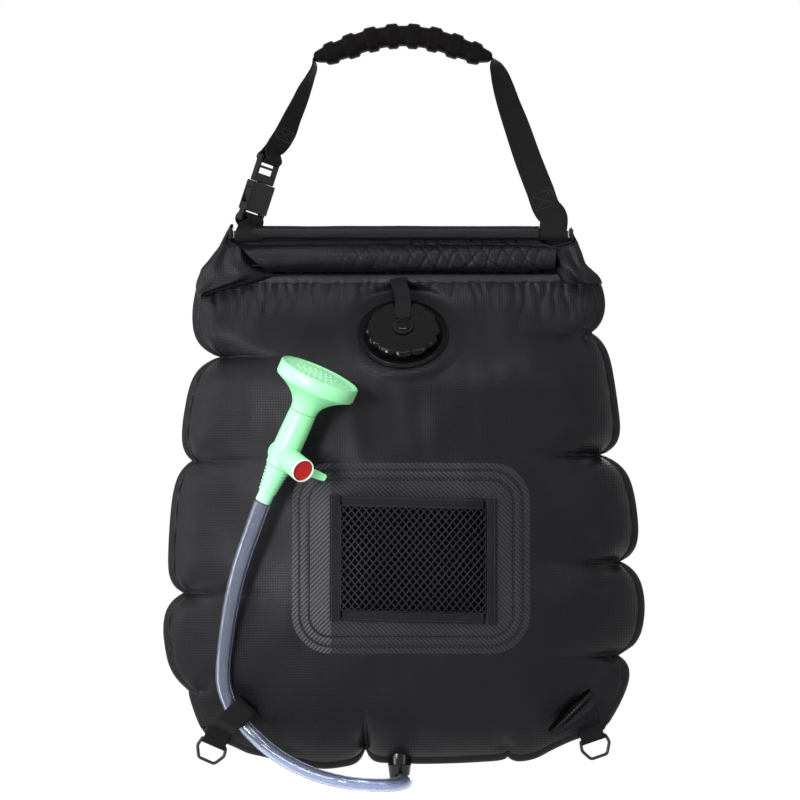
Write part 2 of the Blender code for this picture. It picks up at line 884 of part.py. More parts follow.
def bar_loop(half_thickness, half_height, square, leg):
    """(across the ply, along it) points of webbing hanging in a loop round a bar at zero."""
    a, b = loop_radius(half_thickness, square), loop_radius(half_height, square)
    gap = (WEBBING_THICKNESS + PLY_GAP) / 2
    turns = np.radians(np.linspace(50.0, 310.0, 14))
    round_it = [(a * math.sin(turn), b * math.cos(turn)) for turn in turns]
    return [(gap, b + leg), *round_it, (-gap, b + leg)]


def strap_turn(point, ahead, turn_share):
    """The direction of the webbing's width, from flat to the front to edge-on."""
    flat = Vector((-ahead.z, 0.0, ahead.x))
    if flat.x < 0:
        flat = -flat
    turn = turn_share * math.pi / 2
    return flat * math.cos(turn) + Vector((0.0, 1.0, 0.0)) * math.sin(turn)


def left_strap_run():
    """Points and widths of the webbing from the buckle's upper bar to the grip's left end."""
    frame = buckle_frame()
    loop = bar_loop(BAR_THICKNESS / 2, BAR_HEIGHT / 2, True, OVERRUN)
    points = [frame @ Vector((0.0, y, PLUG_BAR + z)) for y, z in loop]
    across = frame.to_3x3() @ Vector((1.0, 0.0, 0.0))
    sides = [across] * len(points)
    shift = frame.to_3x3() @ Vector((0.0, (WEBBING_THICKNESS + PLY_GAP) / 2, 0.0))
    run = [Vector((x * HANDLE_DROP, 0.0, -z * HANDLE_DROP)) for x, z, _ in LEFT_STRAP_SHARES[::-1]]
    turns = [turn for _, _, turn in LEFT_STRAP_SHARES[::-1]]
    ends = [points[-1], *run, grip_place(-1.0)[0]]
    strap_sides = [
        strap_turn(run[k], (ends[k + 2] - ends[k]).normalized(), turns[k]) for k in range(len(run))
    ]
    tail = [run[0] + shift * 1.0]
    return tail, [strap_sides[0]], points, sides, run, strap_sides


def right_strap_run():
    """Points and widths of the webbing from the grip's right end to its loop on the rod."""
    run = [Vector((x * HANDLE_DROP, 0.0, -z * HANDLE_DROP)) for x, z, _ in RIGHT_STRAP_SHARES]
    turns = [turn for _, _, turn in RIGHT_STRAP_SHARES]
    gap = (WEBBING_THICKNESS + PLY_GAP) / 2
    loop = bar_loop(ROD_RADIUS, ROD_RADIUS, False, LOOP_LEG)
    loop_points = [Vector((RIGHT_LOOP_REACH, -y, z - HANDLE_DROP)) for y, z in loop]
    ends = [grip_place(1.0)[0], *run, loop_points[0]]
    sides = [
        strap_turn(run[k], (ends[k + 2] - ends[k]).normalized(), turns[k]) for k in range(len(run))
    ]
    run = [point - Vector((0.0, gap, 0.0)) * min(1.0, k / 4) for k, point in enumerate(run)]
    back = [Vector((p.x, gap, p.z)) for p in run[:-3:-1]]
    points = [*run, *loop_points, *back]
    return points, [*sides, *[Vector((1.0, 0.0, 0.0))] * len(loop_points), *sides[:-3:-1]]


def make_handle_webbing():
    """One length of webbing: round the buckle's bar, through the grip and down to the rod."""
    tail, tail_sides, loop, loop_sides, run, run_sides = left_strap_run()
    arc = [grip_place(share)[0] for share in np.linspace(-1.0, 1.0, GRIP_STEPS)]
    past = GRIP_SLOT_SHARE
    arc = [arc[0] + (arc[0] - arc[1]) * past, *arc, arc[-1] + (arc[-1] - arc[-2]) * past]
    right, right_sides = right_strap_run()
    path = [*tail, *loop, *run, *arc, *right]
    sides = [*tail_sides, *loop_sides, *run_sides, *[Vector((0.0, 1.0, 0.0))] * len(arc), *right_sides]
    ribbon("handle_webbing", path, sides, WEBBING_WIDTH, WEBBING_THICKNESS, webbing_black())


def make_buckle_webbing():
    """The short sewn band between the buckle's lower bar and the rod's left end."""
    frame = buckle_frame()
    a = loop_radius(BAR_THICKNESS / 2, True)
    b = loop_radius(BAR_HEIGHT / 2, True)
    a, b, r = a + BAND_SLACK, b + BAND_SLACK, loop_radius(ROD_RADIUS, False) + BAND_SLACK
    rod_at = Vector((-LEFT_LOOP_REACH, 0.0, -HANDLE_DROP))
    across = frame.to_3x3() @ Vector((1.0, 0.0, 0.0))
    below = [math.radians(turn) for turn in np.linspace(90.0, 270.0, 9)]
    above = [math.radians(turn) for turn in np.linspace(-90.0, 90.0, 9)]
    low = [rod_at + Vector((0.0, r * math.sin(turn), r * math.cos(turn))) for turn in below]
    top = [(a * math.sin(turn), SOCKET_BAR + b * math.cos(turn)) for turn in above]
    high = [frame @ Vector((0.0, y, z)) for y, z in top]

    def leg(start, end, first, last):
        places = [start.lerp(end, share) for share, _ in BAND_TWIST_SHARES]
        return places, [first.lerp(last, turn) for _, turn in BAND_TWIST_SHARES]

    side = Vector((1.0, 0.0, 0.0))
    up, up_sides = leg(low[-1], high[0], side, across)
    down, down_sides = leg(high[-1], low[0], across, side)
    path = [*low, *up, *high, down[0]]
    sides = [side] * len(low) + up_sides + [across] * len(high) + down_sides[:1]
    look = webbing_black()
    ribbon("buckle_webbing", path, sides, WEBBING_WIDTH, WEBBING_THICKNESS, look, square=False)


def make_buckle_socket():
    """The female half: a pocket with two side windows, and a bar for the lower webbing."""
    frame = buckle_frame()
    half, thick = BUCKLE_WIDTH / 2, SOCKET_THICKNESS / 2
    slot_low = SOCKET_BOTTOM + BAR_HEIGHT
    slot_high = slot_low + SLOT_HEIGHT
    low, high = (-half, -thick, slot_high), (half, thick, SOCKET_ABOVE)
    body = block("buckle_socket", low, high, plastic_black(), frame)
    soften(body, BUCKLE_EDGE)
    low = (-half, -BAR_THICKNESS / 2, SOCKET_BOTTOM)
    high = (half, BAR_THICKNESS / 2, slot_high + SOCKET_WALL)
    join(body, soften(block("socket_bar", low, high, None, frame), BUCKLE_EDGE))
    opening = (WEBBING_WIDTH + SOCKET_WALL) / 2
    past = thick + OVERRUN
    cut(body, block("socket_slot", (-opening, -past, slot_low), (opening, past, slot_high), None, frame))
    inside = half - 2 * SOCKET_WALL
    room = thick - SOCKET_WALL
    floor = SOCKET_ABOVE - POCKET_DEPTH
    ceiling = SOCKET_ABOVE + OVERRUN
    cut(body, block("socket_pocket", (-inside, -room, floor), (inside, room, ceiling), None, frame))
    top = SOCKET_ABOVE - WINDOW_TOP
    reach = half + OVERRUN
    low, high = (-reach, -room + TOUCH, top - WINDOW_HEIGHT), (reach, room - TOUCH, top)
    cut(body, block("socket_windows", low, high, None, frame))


def make_buckle_plug():
    """The male half: a ladder of two slots, and the tongue that centres it in the socket."""
    frame = buckle_frame()
    half, thick = PLUG_WIDTH / 2, BAR_THICKNESS / 2
    base = SOCKET_ABOVE + TOUCH
    body = block("buckle_plug", (-half, -thick, base), (half, thick, PLUG_TOP), plastic_black(), frame)
    soften(body, BUCKLE_EDGE)
    tongue = TONGUE_WIDTH / 2
    low, high = (-tongue, -thick + TOUCH, base - TONGUE_LENGTH), (tongue, thick - TOUCH, base + SOCKET_WALL)
    join(body, block("plug_tongue", low, high, None, frame))
    opening = (WEBBING_WIDTH + SOCKET_WALL) / 2
    past = thick + OVERRUN
    for k, name in enumerate(("plug_slot_upper", "plug_slot_lower")):
        top = PLUG_TOP - BAR_HEIGHT - k * (SLOT_HEIGHT + BAR_HEIGHT / 2)
        low, high = (-opening, -past, top - SLOT_HEIGHT), (opening, past, top)
        cut(body, block(name, low, high, None, frame))


def prong_points(side):
    """The outline of a prong: an arm from the plug, and a head that fills the side window."""
    root = SOCKET_ABOVE
    shoulder = SOCKET_ABOVE - WINDOW_TOP - RUNNING * 2
    tip = SOCKET_ABOVE - WINDOW_TOP - WINDOW_HEIGHT + RUNNING * 3
    inner, outer = PRONG_REACH - PRONG_ARM / 2, PRONG_REACH + PRONG_ARM / 2
    head = PRONG_REACH + PRONG_HEAD
    points = [
        (inner, root),
        (outer, root),
        (outer, shoulder),
        (head, shoulder),
        (head, (shoulder + tip) / 2),
        (outer + PRONG_ARM / 2, tip),
        (inner, tip),
    ]
    return [(side * x, z) for x, z in points]


def make_buckle_prongs():
    """Each prong has its origin on its hinge, at the root of its arm."""
    frame = buckle_frame()
    turn = Matrix.Rotation(math.radians(90.0), 4, "X")
    for name, side in (("buckle_prong_left", -1), ("buckle_prong_right", 1)):
        hinge = Vector((side * PRONG_REACH, 0.0, SOCKET_ABOVE))
        points = [(x - hinge.x, z - hinge.z) for x, z in prong_points(side)]
        at_hinge = frame @ Matrix.Translation(hinge) @ turn
        outline(name, points, PRONG_THICKNESS, plastic_black(), at_hinge)


def make_handle():
    make_grip()
    make_handle_webbing()
    make_buckle_webbing()
    make_buckle_socket()
    make_buckle_plug()
    make_buckle_prongs()


# Rolled top


def rounded_oblong(width, height, sides):
    """Points of an upright oval that is nearly a stadium, from the top round."""
    points = []
    for k in range(sides):
        turn = 2 * math.pi * k / sides
        c, s = math.cos(turn), math.sin(turn)
        across = math.copysign(abs(s) ** 0.8, s) * width / 2
        points.append((across, math.copysign(abs(c) ** 0.8, c) * height / 2))
    return points


def along_x(start, end, z=0.0):
    """A frame whose outline plane stands across X, with its middle between two places on X."""
    frame = Matrix(((0.0, 0.0, 1.0), (1.0, 0.0, 0.0), (0.0, 1.0, 0.0))).to_4x4()
    frame.translation = Vector(((start + end) / 2, 0.0, z))
    return frame


def make_rolled_top():
    """The rolled neck, the hem above it for the stiffener rod, and the folds down its back."""
    roll_at = along_x(-ROLL_LEFT, ROLL_RIGHT, -HANDLE_DROP - ROLL_DROP)
    section = rounded_oblong(ROLL_DEPTH, ROLL_HEIGHT, 16)
    body = flat_solid("rolled_top", section, ROLL_LEFT + ROLL_RIGHT, fabric_black(), roll_at)
    hem_length = HEM_LEFT + HEM_RIGHT
    hem_at = along_x(-HEM_LEFT, HEM_RIGHT, -HANDLE_DROP)
    hem_section = rounded_oblong(HEM_RADIUS * 2, HEM_RADIUS * 2, 12)
    hem = flat_solid("hem_tube", hem_section, hem_length, None, hem_at)
    join(body, hem)
    low = (-HEM_LEFT, -ROLL_WEB / 2, -HANDLE_DROP - ROLL_DROP)
    high = (HEM_RIGHT, ROLL_WEB / 2, -HANDLE_DROP - HEM_RADIUS / 2)
    join(body, block("hem_web", low, high, None))
    back = BAG_SETBACK + NECK_HALF_DEPTH
    low = (-ROLL_LEFT, 0.0, PANEL_TOP + TOUCH)
    high = (ROLL_RIGHT, back, PANEL_TOP + TOUCH + NECK_FOLD_HEIGHT)
    join(body, soften(block("neck_folds", low, high, None), NECK_FOLD_HEIGHT / 3))
    start = (-HEM_LEFT - OVERRUN, 0.0, -HANDLE_DROP)
    end = (HEM_RIGHT + OVERRUN, 0.0, -HANDLE_DROP)
    cut(body, rod("hem_bore", ROD_RADIUS + TOUCH, start, end, None, 12))


def make_stiffener():
    """The rod and the two caps that keep the strap loops on it."""
    left, right = (-ROD_LEFT, 0.0, -HANDLE_DROP), (ROD_RIGHT, 0.0, -HANDLE_DROP)
    rod("stiffener_rod", ROD_RADIUS, left, right, rod_white(), 12)
    for name, x, way in (("rod_cap_left", -ROD_LEFT, -1), ("rod_cap_right", ROD_RIGHT, 1)):
        start = Vector((x + way * TOUCH, 0.0, -HANDLE_DROP))
        end = start + Vector((way * ROD_CAP_LENGTH, 0.0, 0.0))
        cap = rod(name, ROD_CAP_RADIUS, start, end, plastic_black(), 12)
        soften(cap, BUCKLE_EDGE)


def make_shoulders():
    """The folded corners of fabric beside the ends of the roll."""
    turn = Matrix.Rotation(math.radians(90.0), 4, "X")
    drop = ROLL_DROP + ROLL_HEIGHT / 2
    for name, table, side in (
        ("shoulder_fold_left", LEFT_SHOULDER_SHARES, -1),
        ("shoulder_fold_right", RIGHT_SHOULDER_SHARES, 1),
    ):
        points = [(side * x * BAG_HALF_WIDTH, -HANDLE_DROP - down * drop) for x, down in table]
        fold = outline(name, points, SHOULDER_THICKNESS, fabric_black(), turn)
        fold.location.y = BAG_SETBACK * SHOULDER_SETBACK_SHARE


# Bag


def graded(share):
    """Row places, closer together near the filler and towards the bottom seam."""
    if share <= FULL_SHARE:
        return FULL_SHARE * (share / FULL_SHARE) ** TOP_GRADING
    rest = 1 - FULL_SHARE
    return FULL_SHARE + rest * math.sin((share - FULL_SHARE) / rest * math.pi / 2)


def row_shares(rows):
    """Graded rows, with one moved on to each notch of the outline."""
    shares = [graded(k / rows) for k in range(rows + 1)]
    for notches, side in ((LEFT_NOTCH_SHARES, -1), (RIGHT_NOTCH_SHARES, 1)):
        for place, _ in notches:
            z = np.array(PANEL_TOP - place * PANEL_HEIGHT)
            x = side * side_edges(z)[(side + 1) // 2]
            notch = float((PANEL_TOP - z) / (PANEL_TOP - dome_floor(x)))
            shares = [s for s in shares if abs(s - notch) > ROW_MARGIN_SHARE or s in (0.0, 1.0)]
            shares.append(notch)
    return sorted(shares)


def panel_grid(columns, rows):
    """(x, z) rows over a panel, close together near its edges and out over the seam flange."""
    even = np.arange(columns + 1) / columns
    across = COLUMN_GRADING * (0.5 - 0.5 * np.cos(np.pi * even)) + (1 - COLUMN_GRADING) * even
    grid = []
    for share in row_shares(rows):
        x = np.zeros_like(across)
        for _ in range(12):
            z = PANEL_TOP + (dome_floor(x) - PANEL_TOP) * share
            left, right = side_edges(z)
            x = -left + (left + right) * across
        outer = [(x[0] - SEAM_FLANGE, z[0]), *zip(x, z), (x[-1] + SEAM_FLANGE, z[-1])]
        grid.append(outer)
    last = grid[-1]
    held = [min(max(x, last[1][0]), last[-2][0]) for x, _ in last]
    grid.append([(x, float(bottom_edge(np.array(at)))) for (x, _), at in zip(last, held)])
    return grid


def make_panel(name, side):
    """One panel of the bag: its dome, and the flat flange that is welded to the other panel."""
    rows = []
    grid = panel_grid(PANEL_COLUMNS, PANEL_ROWS)
    for k, row in enumerate(grid):
        xs, zs = np.array(row, float).T
        ys = surface(side, xs, zs)
        on_flange = np.zeros(len(xs), bool)
        on_flange[[0, -1]] = True
        if k == len(grid) - 1:
            on_flange[:] = True
        ys = np.where(on_flange, side * (TOUCH / 2 + FABRIC), ys)
        rows.append(list(zip(xs, ys, zs)))
    obj = sheet(name, rows, FABRIC, -1.0, fabric_black(), facing_back=side > 0)
    cut(obj, spout_clearance(name))
    return obj


def spout_clearance(name):
    low = spout_centre() - Vector((0.0, 0.0, SPOUT_DROP + OVERRUN))
    high = spout_centre() + Vector((0.0, 0.0, SPOUT_ABOVE + OVERRUN))
    return rod(name + "_spout_hole", SPOUT_RADIUS + TOUCH, low, high, None, 16)


def make_panels():
    front = make_panel("front_panel", -1)
    frame = filler_frame()
    hole = NECK_BORE_RADIUS + NECK_WALL + TOUCH
    start = frame @ Vector((0.0, 0.0, -FRONT_DEPTH / 3))
    end = frame @ Vector((0.0, 0.0, FRONT_DEPTH / 3))
    cut(front, rod("filler_hole", hole, start, end, None, 32))
    make_panel("back_panel", 1)


def make_bands():
    """The welded band just under the roll, on the front and on the back."""
    half = BAND_REACH_SHARE * BAG_HALF_WIDTH
    for name, side in (("seam_band_front", -1), ("seam_band_back", 1)):
        rows = []
        for drop in (TOUCH, BAND_HEIGHT / 2, BAND_HEIGHT):
            xs = np.linspace(-half, half, BAND_COLUMNS + 1)
            zs = np.full_like(xs, PANEL_TOP - drop)
            rows.append(list(zip(xs, surface(side, xs, zs, 3 * TOUCH), zs)))
        sheet(name, rows, BAND_THICKNESS, 1.0, fabric_black(), facing_back=side > 0)


# Filler


def filler_frame():
    """The filler's frame: its origin on the bag's outer skin, +Z out of the neck."""
    axis = Vector((0.0, -math.cos(FILLER_TILT), math.sin(FILLER_TILT)))
    at = Vector((0.0, -(TOUCH / 2 + FABRIC + FILLER_DEPTH), -FILLER_DOWN))
    return facing(axis, at, (1.0, 0.0, 0.0))


NECK_TOP = FLANGE_LIFT + NECK_HEIGHT
CAP_CEILING = NECK_TOP + 2 * TOUCH + GASKET_THICKNESS
CAP_FACE = CAP_CEILING + CAP_TOP


def make_filler_neck():
    """The welded flange with the threaded neck that the cap screws on."""
    bore, outer = NECK_BORE_RADIUS, NECK_BORE_RADIUS + NECK_WALL
    base = FLANGE_LIFT + FLANGE_THICKNESS
    profile = [
        (bore, NECK_TOP),
        (outer, NECK_TOP),
        (outer, base),
        (FLANGE_RADIUS, base),
        (FLANGE_RADIUS, FLANGE_LIFT),
        (outer, FLANGE_LIFT),
        (outer, -NECK_BELOW),
        (bore, -NECK_BELOW),
    ]
    turned("filler_neck", profile, plastic_black(), filler_frame(), 32, closed=True)


def make_screw_cap():
    """The cap with its scalloped rim, hollow underneath to take the neck."""
    rings = []
    skirt = FLANGE_LIFT + FLANGE_THICKNESS + TOUCH
    levels = ((skirt, 0.0), (CAP_FACE - CAP_TOP / 2, 0.0), (CAP_FACE, -CAP_TOP / 2))
    for height, inset in levels:
        ring = []
        for k in range(CAP_STEPS):
            turn = 2 * math.pi * k / CAP_STEPS
            radius = CAP_RADIUS + CAP_LOBE * math.cos(CAP_LOBES * turn) + inset
            ring.append((radius * math.cos(turn), radius * math.sin(turn), height))
        rings.append(ring)
    points = [point for ring in rings for point in ring]
    faces = grid_faces(len(rings), CAP_STEPS, False, ring=True)
    top = (len(rings) - 1) * CAP_STEPS
    faces.append(list(range(CAP_STEPS))[::-1])
    faces.append([top + k for k in range(CAP_STEPS)])
    frame = filler_frame()
    cap = keep("screw_cap", mesh_of("screw_cap", points, faces), plastic_black(), frame)
    inner = NECK_BORE_RADIUS + NECK_WALL + RUNNING
    low, high = frame @ Vector((0.0, 0.0, -OVERRUN)), frame @ Vector((0.0, 0.0, CAP_CEILING))
    cut(cap, rod("cap_hollow", inner, low, high, None, 32))
    low, high = frame @ Vector((0.0, 0.0, 0.0)), frame @ Vector((0.0, 0.0, CAP_FACE + OVERRUN))
    cut(cap, rod("cap_pin_hole", PIN_SHAFT_RADIUS + TOUCH, low, high, None, 12))


def make_cap_gasket():
    low, high = NECK_TOP + TOUCH, NECK_TOP + TOUCH + GASKET_THICKNESS
    outer = NECK_BORE_RADIUS + NECK_WALL
    inner = NECK_BORE_RADIUS - NECK_WALL
    profile = [(inner, high), (outer, high), (outer, low), (inner, low)]
    turned("cap_gasket", profile, rubber_black(), filler_frame(), 32, closed=True)


RING_FLOOR = CAP_FACE + TOUCH
PIN_FLOOR = RING_FLOOR + TETHER_RING_THICKNESS + TOUCH


def make_tether_ring():
    low, high = RING_FLOOR, RING_FLOOR + TETHER_RING_THICKNESS
    profile = [
        (TETHER_RING_BORE, high),
        (TETHER_RING_RADIUS, high),
        (TETHER_RING_RADIUS, low),
        (TETHER_RING_BORE, low),
    ]
    turned("tether_ring", profile, rubber_black(), filler_frame(), 24, closed=True)


def make_tether_pin():
    """The pin that holds the ring on the cap and lets the cap turn under it."""
    top = PIN_FLOOR + PIN_HEAD_HEIGHT
    foot = CAP_CEILING - TOUCH
    profile = [
        (0.0, top - PIN_RECESS_DEPTH),
        (PIN_RECESS_RADIUS, top - PIN_RECESS_DEPTH),
        (PIN_RECESS_RADIUS, top),
        (PIN_HEAD_RADIUS, top),
        (PIN_HEAD_RADIUS, PIN_FLOOR),
        (PIN_SHAFT_RADIUS, PIN_FLOOR),
        (PIN_SHAFT_RADIUS, foot),
        (0.0, foot),
    ]
    turned("tether_pin", profile, plastic_black(), filler_frame(), 16)


def make_cap_tether():
    """The flat strap from the weld band over the cap's rim to the ring."""
    frame = filler_frame()
    uphill = Vector((0.0, math.sin(FILLER_TILT), math.cos(FILLER_TILT)))
    level = RING_FLOOR + TETHER_RING_THICKNESS / 2

    def over_cap(distance, height):
        return frame.translation + frame.col[2].to_3d() * height + uphill * distance

    start_z = PANEL_TOP - BAND_HEIGHT / 2
    lift = 4 * TOUCH + BAND_THICKNESS + TETHER_THICKNESS / 2
    start = Vector((0.0, float(surface(-1, 0.0, start_z, lift)), start_z))
    rim = CAP_RADIUS + CAP_LOBE
    bulge = Vector((0.0, TETHER_THICKNESS, 0.0))
    path = [
        start,
        start.lerp(over_cap(rim + TETHER_THICKNESS, level), 0.45) - bulge,
        over_cap(rim + TETHER_THICKNESS, level),
        over_cap(rim * 0.8, level),
        over_cap(rim * 0.55, level),
        over_cap(TETHER_RING_RADIUS + RUNNING, level),
    ]
    across = [(1.0, 0.0, 0.0)] * len(path)
    ribbon("cap_tether", path, across, TETHER_WIDTH, TETHER_THICKNESS, rubber_black())


def make_filler():
    make_filler_neck()
    make_screw_cap()
    make_cap_gasket()
    make_tether_ring()
    make_tether_pin()
    make_cap_tether()


# Patch and pocket


def skin_rows(places, lift):
    """Rows of points on the front skin; lift is one distance or one for each place."""
    rows = []
    for row in places:
        xs, zs = np.array(row, float).T
        height = lift(xs, zs) if callable(lift) else lift
        rows.append(list(zip(xs, surface(-1, xs, zs, height), zs)))
    return rows


PATCH_LIFT = 4 * TOUCH
TAPE_LIFT = 6 * TOUCH + PATCH_THICKNESS


def patch_half_width(down):
    """Half the patch's width at a distance from its top edge, with round corners."""
    near = np.minimum(down, PATCH_HEIGHT - down)
    inside = np.clip(PATCH_CORNER - near, 0.0, PATCH_CORNER)
    return PATCH_WIDTH / 2 - PATCH_CORNER + np.sqrt(PATCH_CORNER**2 - inside**2)


def make_patch():
    ends = PATCH_CORNER * (1 - np.cos(np.linspace(0.0, np.pi / 2, PATCH_ROWS // 3 + 1)))
    middle = np.linspace(PATCH_CORNER, PATCH_HEIGHT - PATCH_CORNER, PATCH_ROWS // 3 + 1)[1:-1]
    downs = np.concatenate([ends, middle, PATCH_HEIGHT - ends[::-1]])
    rows = []
    for down in downs:
        half = patch_half_width(down)
        shares = np.linspace(-1, 1, PATCH_COLUMNS + 1)
        rows.append([(PATCH_ACROSS + u * half, -PATCH_TOP - down) for u in shares])
    sheet("pocket_patch", skin_rows(rows, PATCH_LIFT), PATCH_THICKNESS, 1.0, patch_grey())


def pocket_place(u, down):
    """A place in the pocket: u from -1 at its left edge to 1, and a distance from its top."""
    x = POCKET_ACROSS + u * POCKET_WIDTH / 2
    return x, -POCKET_TOP - down - POCKET_SLOPE_SHARE * (x - POCKET_ACROSS)


OPENING_SHARE = 1 - 2 * (TAPE_WIDTH + TOUCH) / POCKET_WIDTH
HEM_SHARE = OPENING_SHARE - 8 * TOUCH / POCKET_WIDTH
OPENING_FLOOR = POCKET_HEIGHT - TAPE_WIDTH - TOUCH


def pocket_bow(x, z):
    """How far the loose net and hem stand off the patch, held down at the sides and floor."""
    u = np.clip(np.abs(x - POCKET_ACROSS) / (POCKET_WIDTH / 2 * OPENING_SHARE), 0.0, 1.0)
    down = -z - POCKET_TOP - POCKET_SLOPE_SHARE * (x - POCKET_ACROSS)
    v = np.clip(down / OPENING_FLOOR, 0.0, 1.0)
    return TAPE_LIFT + POCKET_BOW * (1 - u**4) * (1 - v**6)


def make_tapes():
    """The bound edges of the pocket: two sides and a floor sewn down, and a free top hem."""
    side_share = 2 * TAPE_WIDTH / POCKET_WIDTH
    for name, start, end in (
        ("pocket_tape_left", -1.0, -1.0 + side_share),
        ("pocket_tape_right", 1.0 - side_share, 1.0),
    ):
        rows = [
            [pocket_place(u, down) for u in (start, end)] for down in np.linspace(0.0, POCKET_HEIGHT, 8)
        ]
        sheet(name, skin_rows(rows, TAPE_LIFT), TAPE_THICKNESS, 1.0, webbing_black())
    across = np.linspace(-HEM_SHARE, HEM_SHARE, POCKET_COLUMNS + 1)
    floor = (POCKET_HEIGHT - TAPE_WIDTH, POCKET_HEIGHT)
    rows = [[pocket_place(u, down) for u in across] for down in floor]
    sheet("pocket_tape_bottom", skin_rows(rows, TAPE_LIFT), TAPE_THICKNESS, 1.0, webbing_black())
    rows = [[pocket_place(u, down) for u in across] for down in (0.0, TAPE_WIDTH)]
    sheet("pocket_hem_top", skin_rows(rows, pocket_bow), TAPE_THICKNESS, 1.0, webbing_black())


def make_net():
    """The mesh of the pocket: a diamond net with a frame of strands round it."""
    wide, tall = 2 * NET_COLUMNS, 2 * NET_ROWS
    top, floor = TAPE_WIDTH + TOUCH + NET_STRAND / 2, OPENING_FLOOR - NET_STRAND / 2
    reach = OPENING_SHARE - NET_STRAND / POCKET_WIDTH

    def place(i, j):
        x, z = pocket_place(reach * (2 * i / wide - 1), top + (floor - top) * j / tall)
        x, z = np.array(x), np.array(z)
        lift = pocket_bow(x, z) + NET_STRAND / 2
        return float(x), float(surface(-1, x, z, lift)), float(z)

    knots = {(i, j): None for i in range(wide + 1) for j in range(tall + 1) if (i + j) % 2 == 0}
    points = []
    for number, knot in enumerate(knots):
        knots[knot] = number
        points.append(place(*knot))
    faces = []
    for i in range(wide + 1):
        for j in range(tall + 1):
            if (i + j) % 2 == 1:
                round_it = [(i - 1, j), (i, j + 1), (i + 1, j), (i, j - 1)]
                faces.append([knots[knot] for knot in round_it if knot in knots])
    net = keep("pocket_net", mesh_of("pocket_net", points, faces), webbing_black())
    strands = net.modifiers.new("strands", "WIREFRAME")
    strands.thickness = NET_STRAND
    strands.use_boundary = True
    strands.use_replace = True
    strands.use_even_offset = False


# Corners


def corner_frame(share):
    """A D-ring's frame at the bottom edge: +X along its bar, +Z outward, +Y to the back."""
    x = share * BAG_HALF_WIDTH
    step = SEAM_FLANGE
    rise = float(bottom_edge(np.array(x + step)) - bottom_edge(np.array(x - step)))
    along = Vector((2 * step, 0.0, rise)).normalized()
    out = Vector((along.z, 0.0, -along.x))
    away = RING_WIRE_RADIUS + RING_STANDOFF
    at = Vector((x, 0.0, float(bottom_edge(np.array(x))))) + out * away
    frame = Matrix((along, out.cross(along), out)).transposed().to_4x4()
    frame.translation = at
    return frame


def make_d_rings():
    """Each ring is a closed wire whose origin is on its straight bar, in the fold of its strap."""
    for name, share in (("d_ring_left", LEFT_RING_SHARE), ("d_ring_right", RIGHT_RING_SHARE)):
        frame = corner_frame(share)
        knots = [Vector((x * RING_WIDTH, 0.0, z * RING_LENGTH)) for x, z in RING_SHARES]
        knots = [knots[-1], *knots, knots[0]]
        points = []
        for k in range(1, len(knots) - 2):
            for step in range(RING_STEPS):
                u = step / RING_STEPS
                start, end = knots[k], knots[k + 1]
                before = knots[k - 1] if k > 1 else start
                after = knots[k + 2] if k < len(knots) - 3 else end
                points.append(catmull(before, start, end, after, u))
        points.append(knots[-2])
        wire(name, points, RING_WIRE_RADIUS, steel_wire(), 1, cyclic=True, frame=frame)


def catmull(before, start, end, after, u):
    a = (end - before) / 2
    b = (after - start) / 2
    return (
        start * ((1 + 2 * u) * (1 - u) ** 2)
        + a * (u * (1 - u) ** 2)
        + end * (u * u * (3 - 2 * u))
        + b * (u * u * (u - 1))
    )


def strap_section(side_lift, anchor, ring_frame, crest, spread):
    """Rows across a corner strap, from its sewn inner end over its crest to the ring's fold.

    The anchor is across as a share of the half width and down as a share of the panel's height.
    """
    fold = RING_WIRE_RADIUS + 2 * RUNNING + WEBBING_THICKNESS / 2
    out = ring_frame.col[2].to_3d()
    bar = ring_frame.translation
    start = Vector((anchor[0] * BAG_HALF_WIDTH, 0.0, PANEL_TOP - anchor[1] * PANEL_HEIGHT))
    inward = bar - out * (SEAM_FLANGE * 2)
    rows = []
    for share, height in side_lift:
        point = start.lerp(inward, share)
        side = (bar - start).normalized()
        across = Vector((-side.z, 0.0, side.x))
        if across.x < 0:
            across = -across
        across = across.lerp(ring_frame.col[0].to_3d(), share).normalized()
        width = CORNER_STRAP_WIDTH * (1 + (spread - 1) * (1 - share))
        row = []
        for k in (-1.0, 0.0, 1.0):
            place = point + across * width / 2 * k
            skin = float(surface(-1, place.x, place.z, TOUCH + WEBBING_THICKNESS / 2))
            row.append(Vector((place.x, min(skin, -crest * height), place.z)))
        rows.append(row)
    across = ring_frame.col[0].to_3d()
    flat = TOUCH / 2 + FABRIC + TOUCH + WEBBING_THICKNESS / 2
    for turn in np.linspace(-90.0, 90.0, 7):
        angle = math.radians(turn)
        centre = bar + out * fold * math.cos(angle) + Vector((0.0, fold * math.sin(angle), 0.0))
        rows.append([centre + across * CORNER_STRAP_WIDTH / 2 * k for k in (-1.0, 0.0, 1.0)])
    end = bar - out * STRAP_TAIL + Vector((0.0, flat, 0.0))
    rows.append([end + across * CORNER_STRAP_WIDTH / 2 * k for k in (-1.0, 0.0, 1.0)])
    return rows


def make_corner_straps():
    """Webbing from the bag's face to each D-ring; the left one holds the hose down."""
    left = corner_frame(LEFT_RING_SHARE)
    rows = strap_section(LEFT_STRAP_RISE_SHARES, LEFT_ANCHOR_SHARES, left, HOSE_CREST, 1.0)
    sheet("corner_strap_left", rows, WEBBING_THICKNESS, 0.0, webbing_black())
    right, spread = corner_frame(RIGHT_RING_SHARE), RIGHT_STRAP_SPREAD_SHARE
    rows = strap_section(RIGHT_STRAP_RISE_SHARES, RIGHT_ANCHOR_SHARES, right, STRAP_CREST, spread)
    sheet("corner_strap_right", rows, WEBBING_THICKNESS, 0.0, webbing_black())


# Spout


def spout_centre():
    return Vector((SPOUT_ACROSS, 0.0, float(bottom_edge(np.array(SPOUT_ACROSS)))))


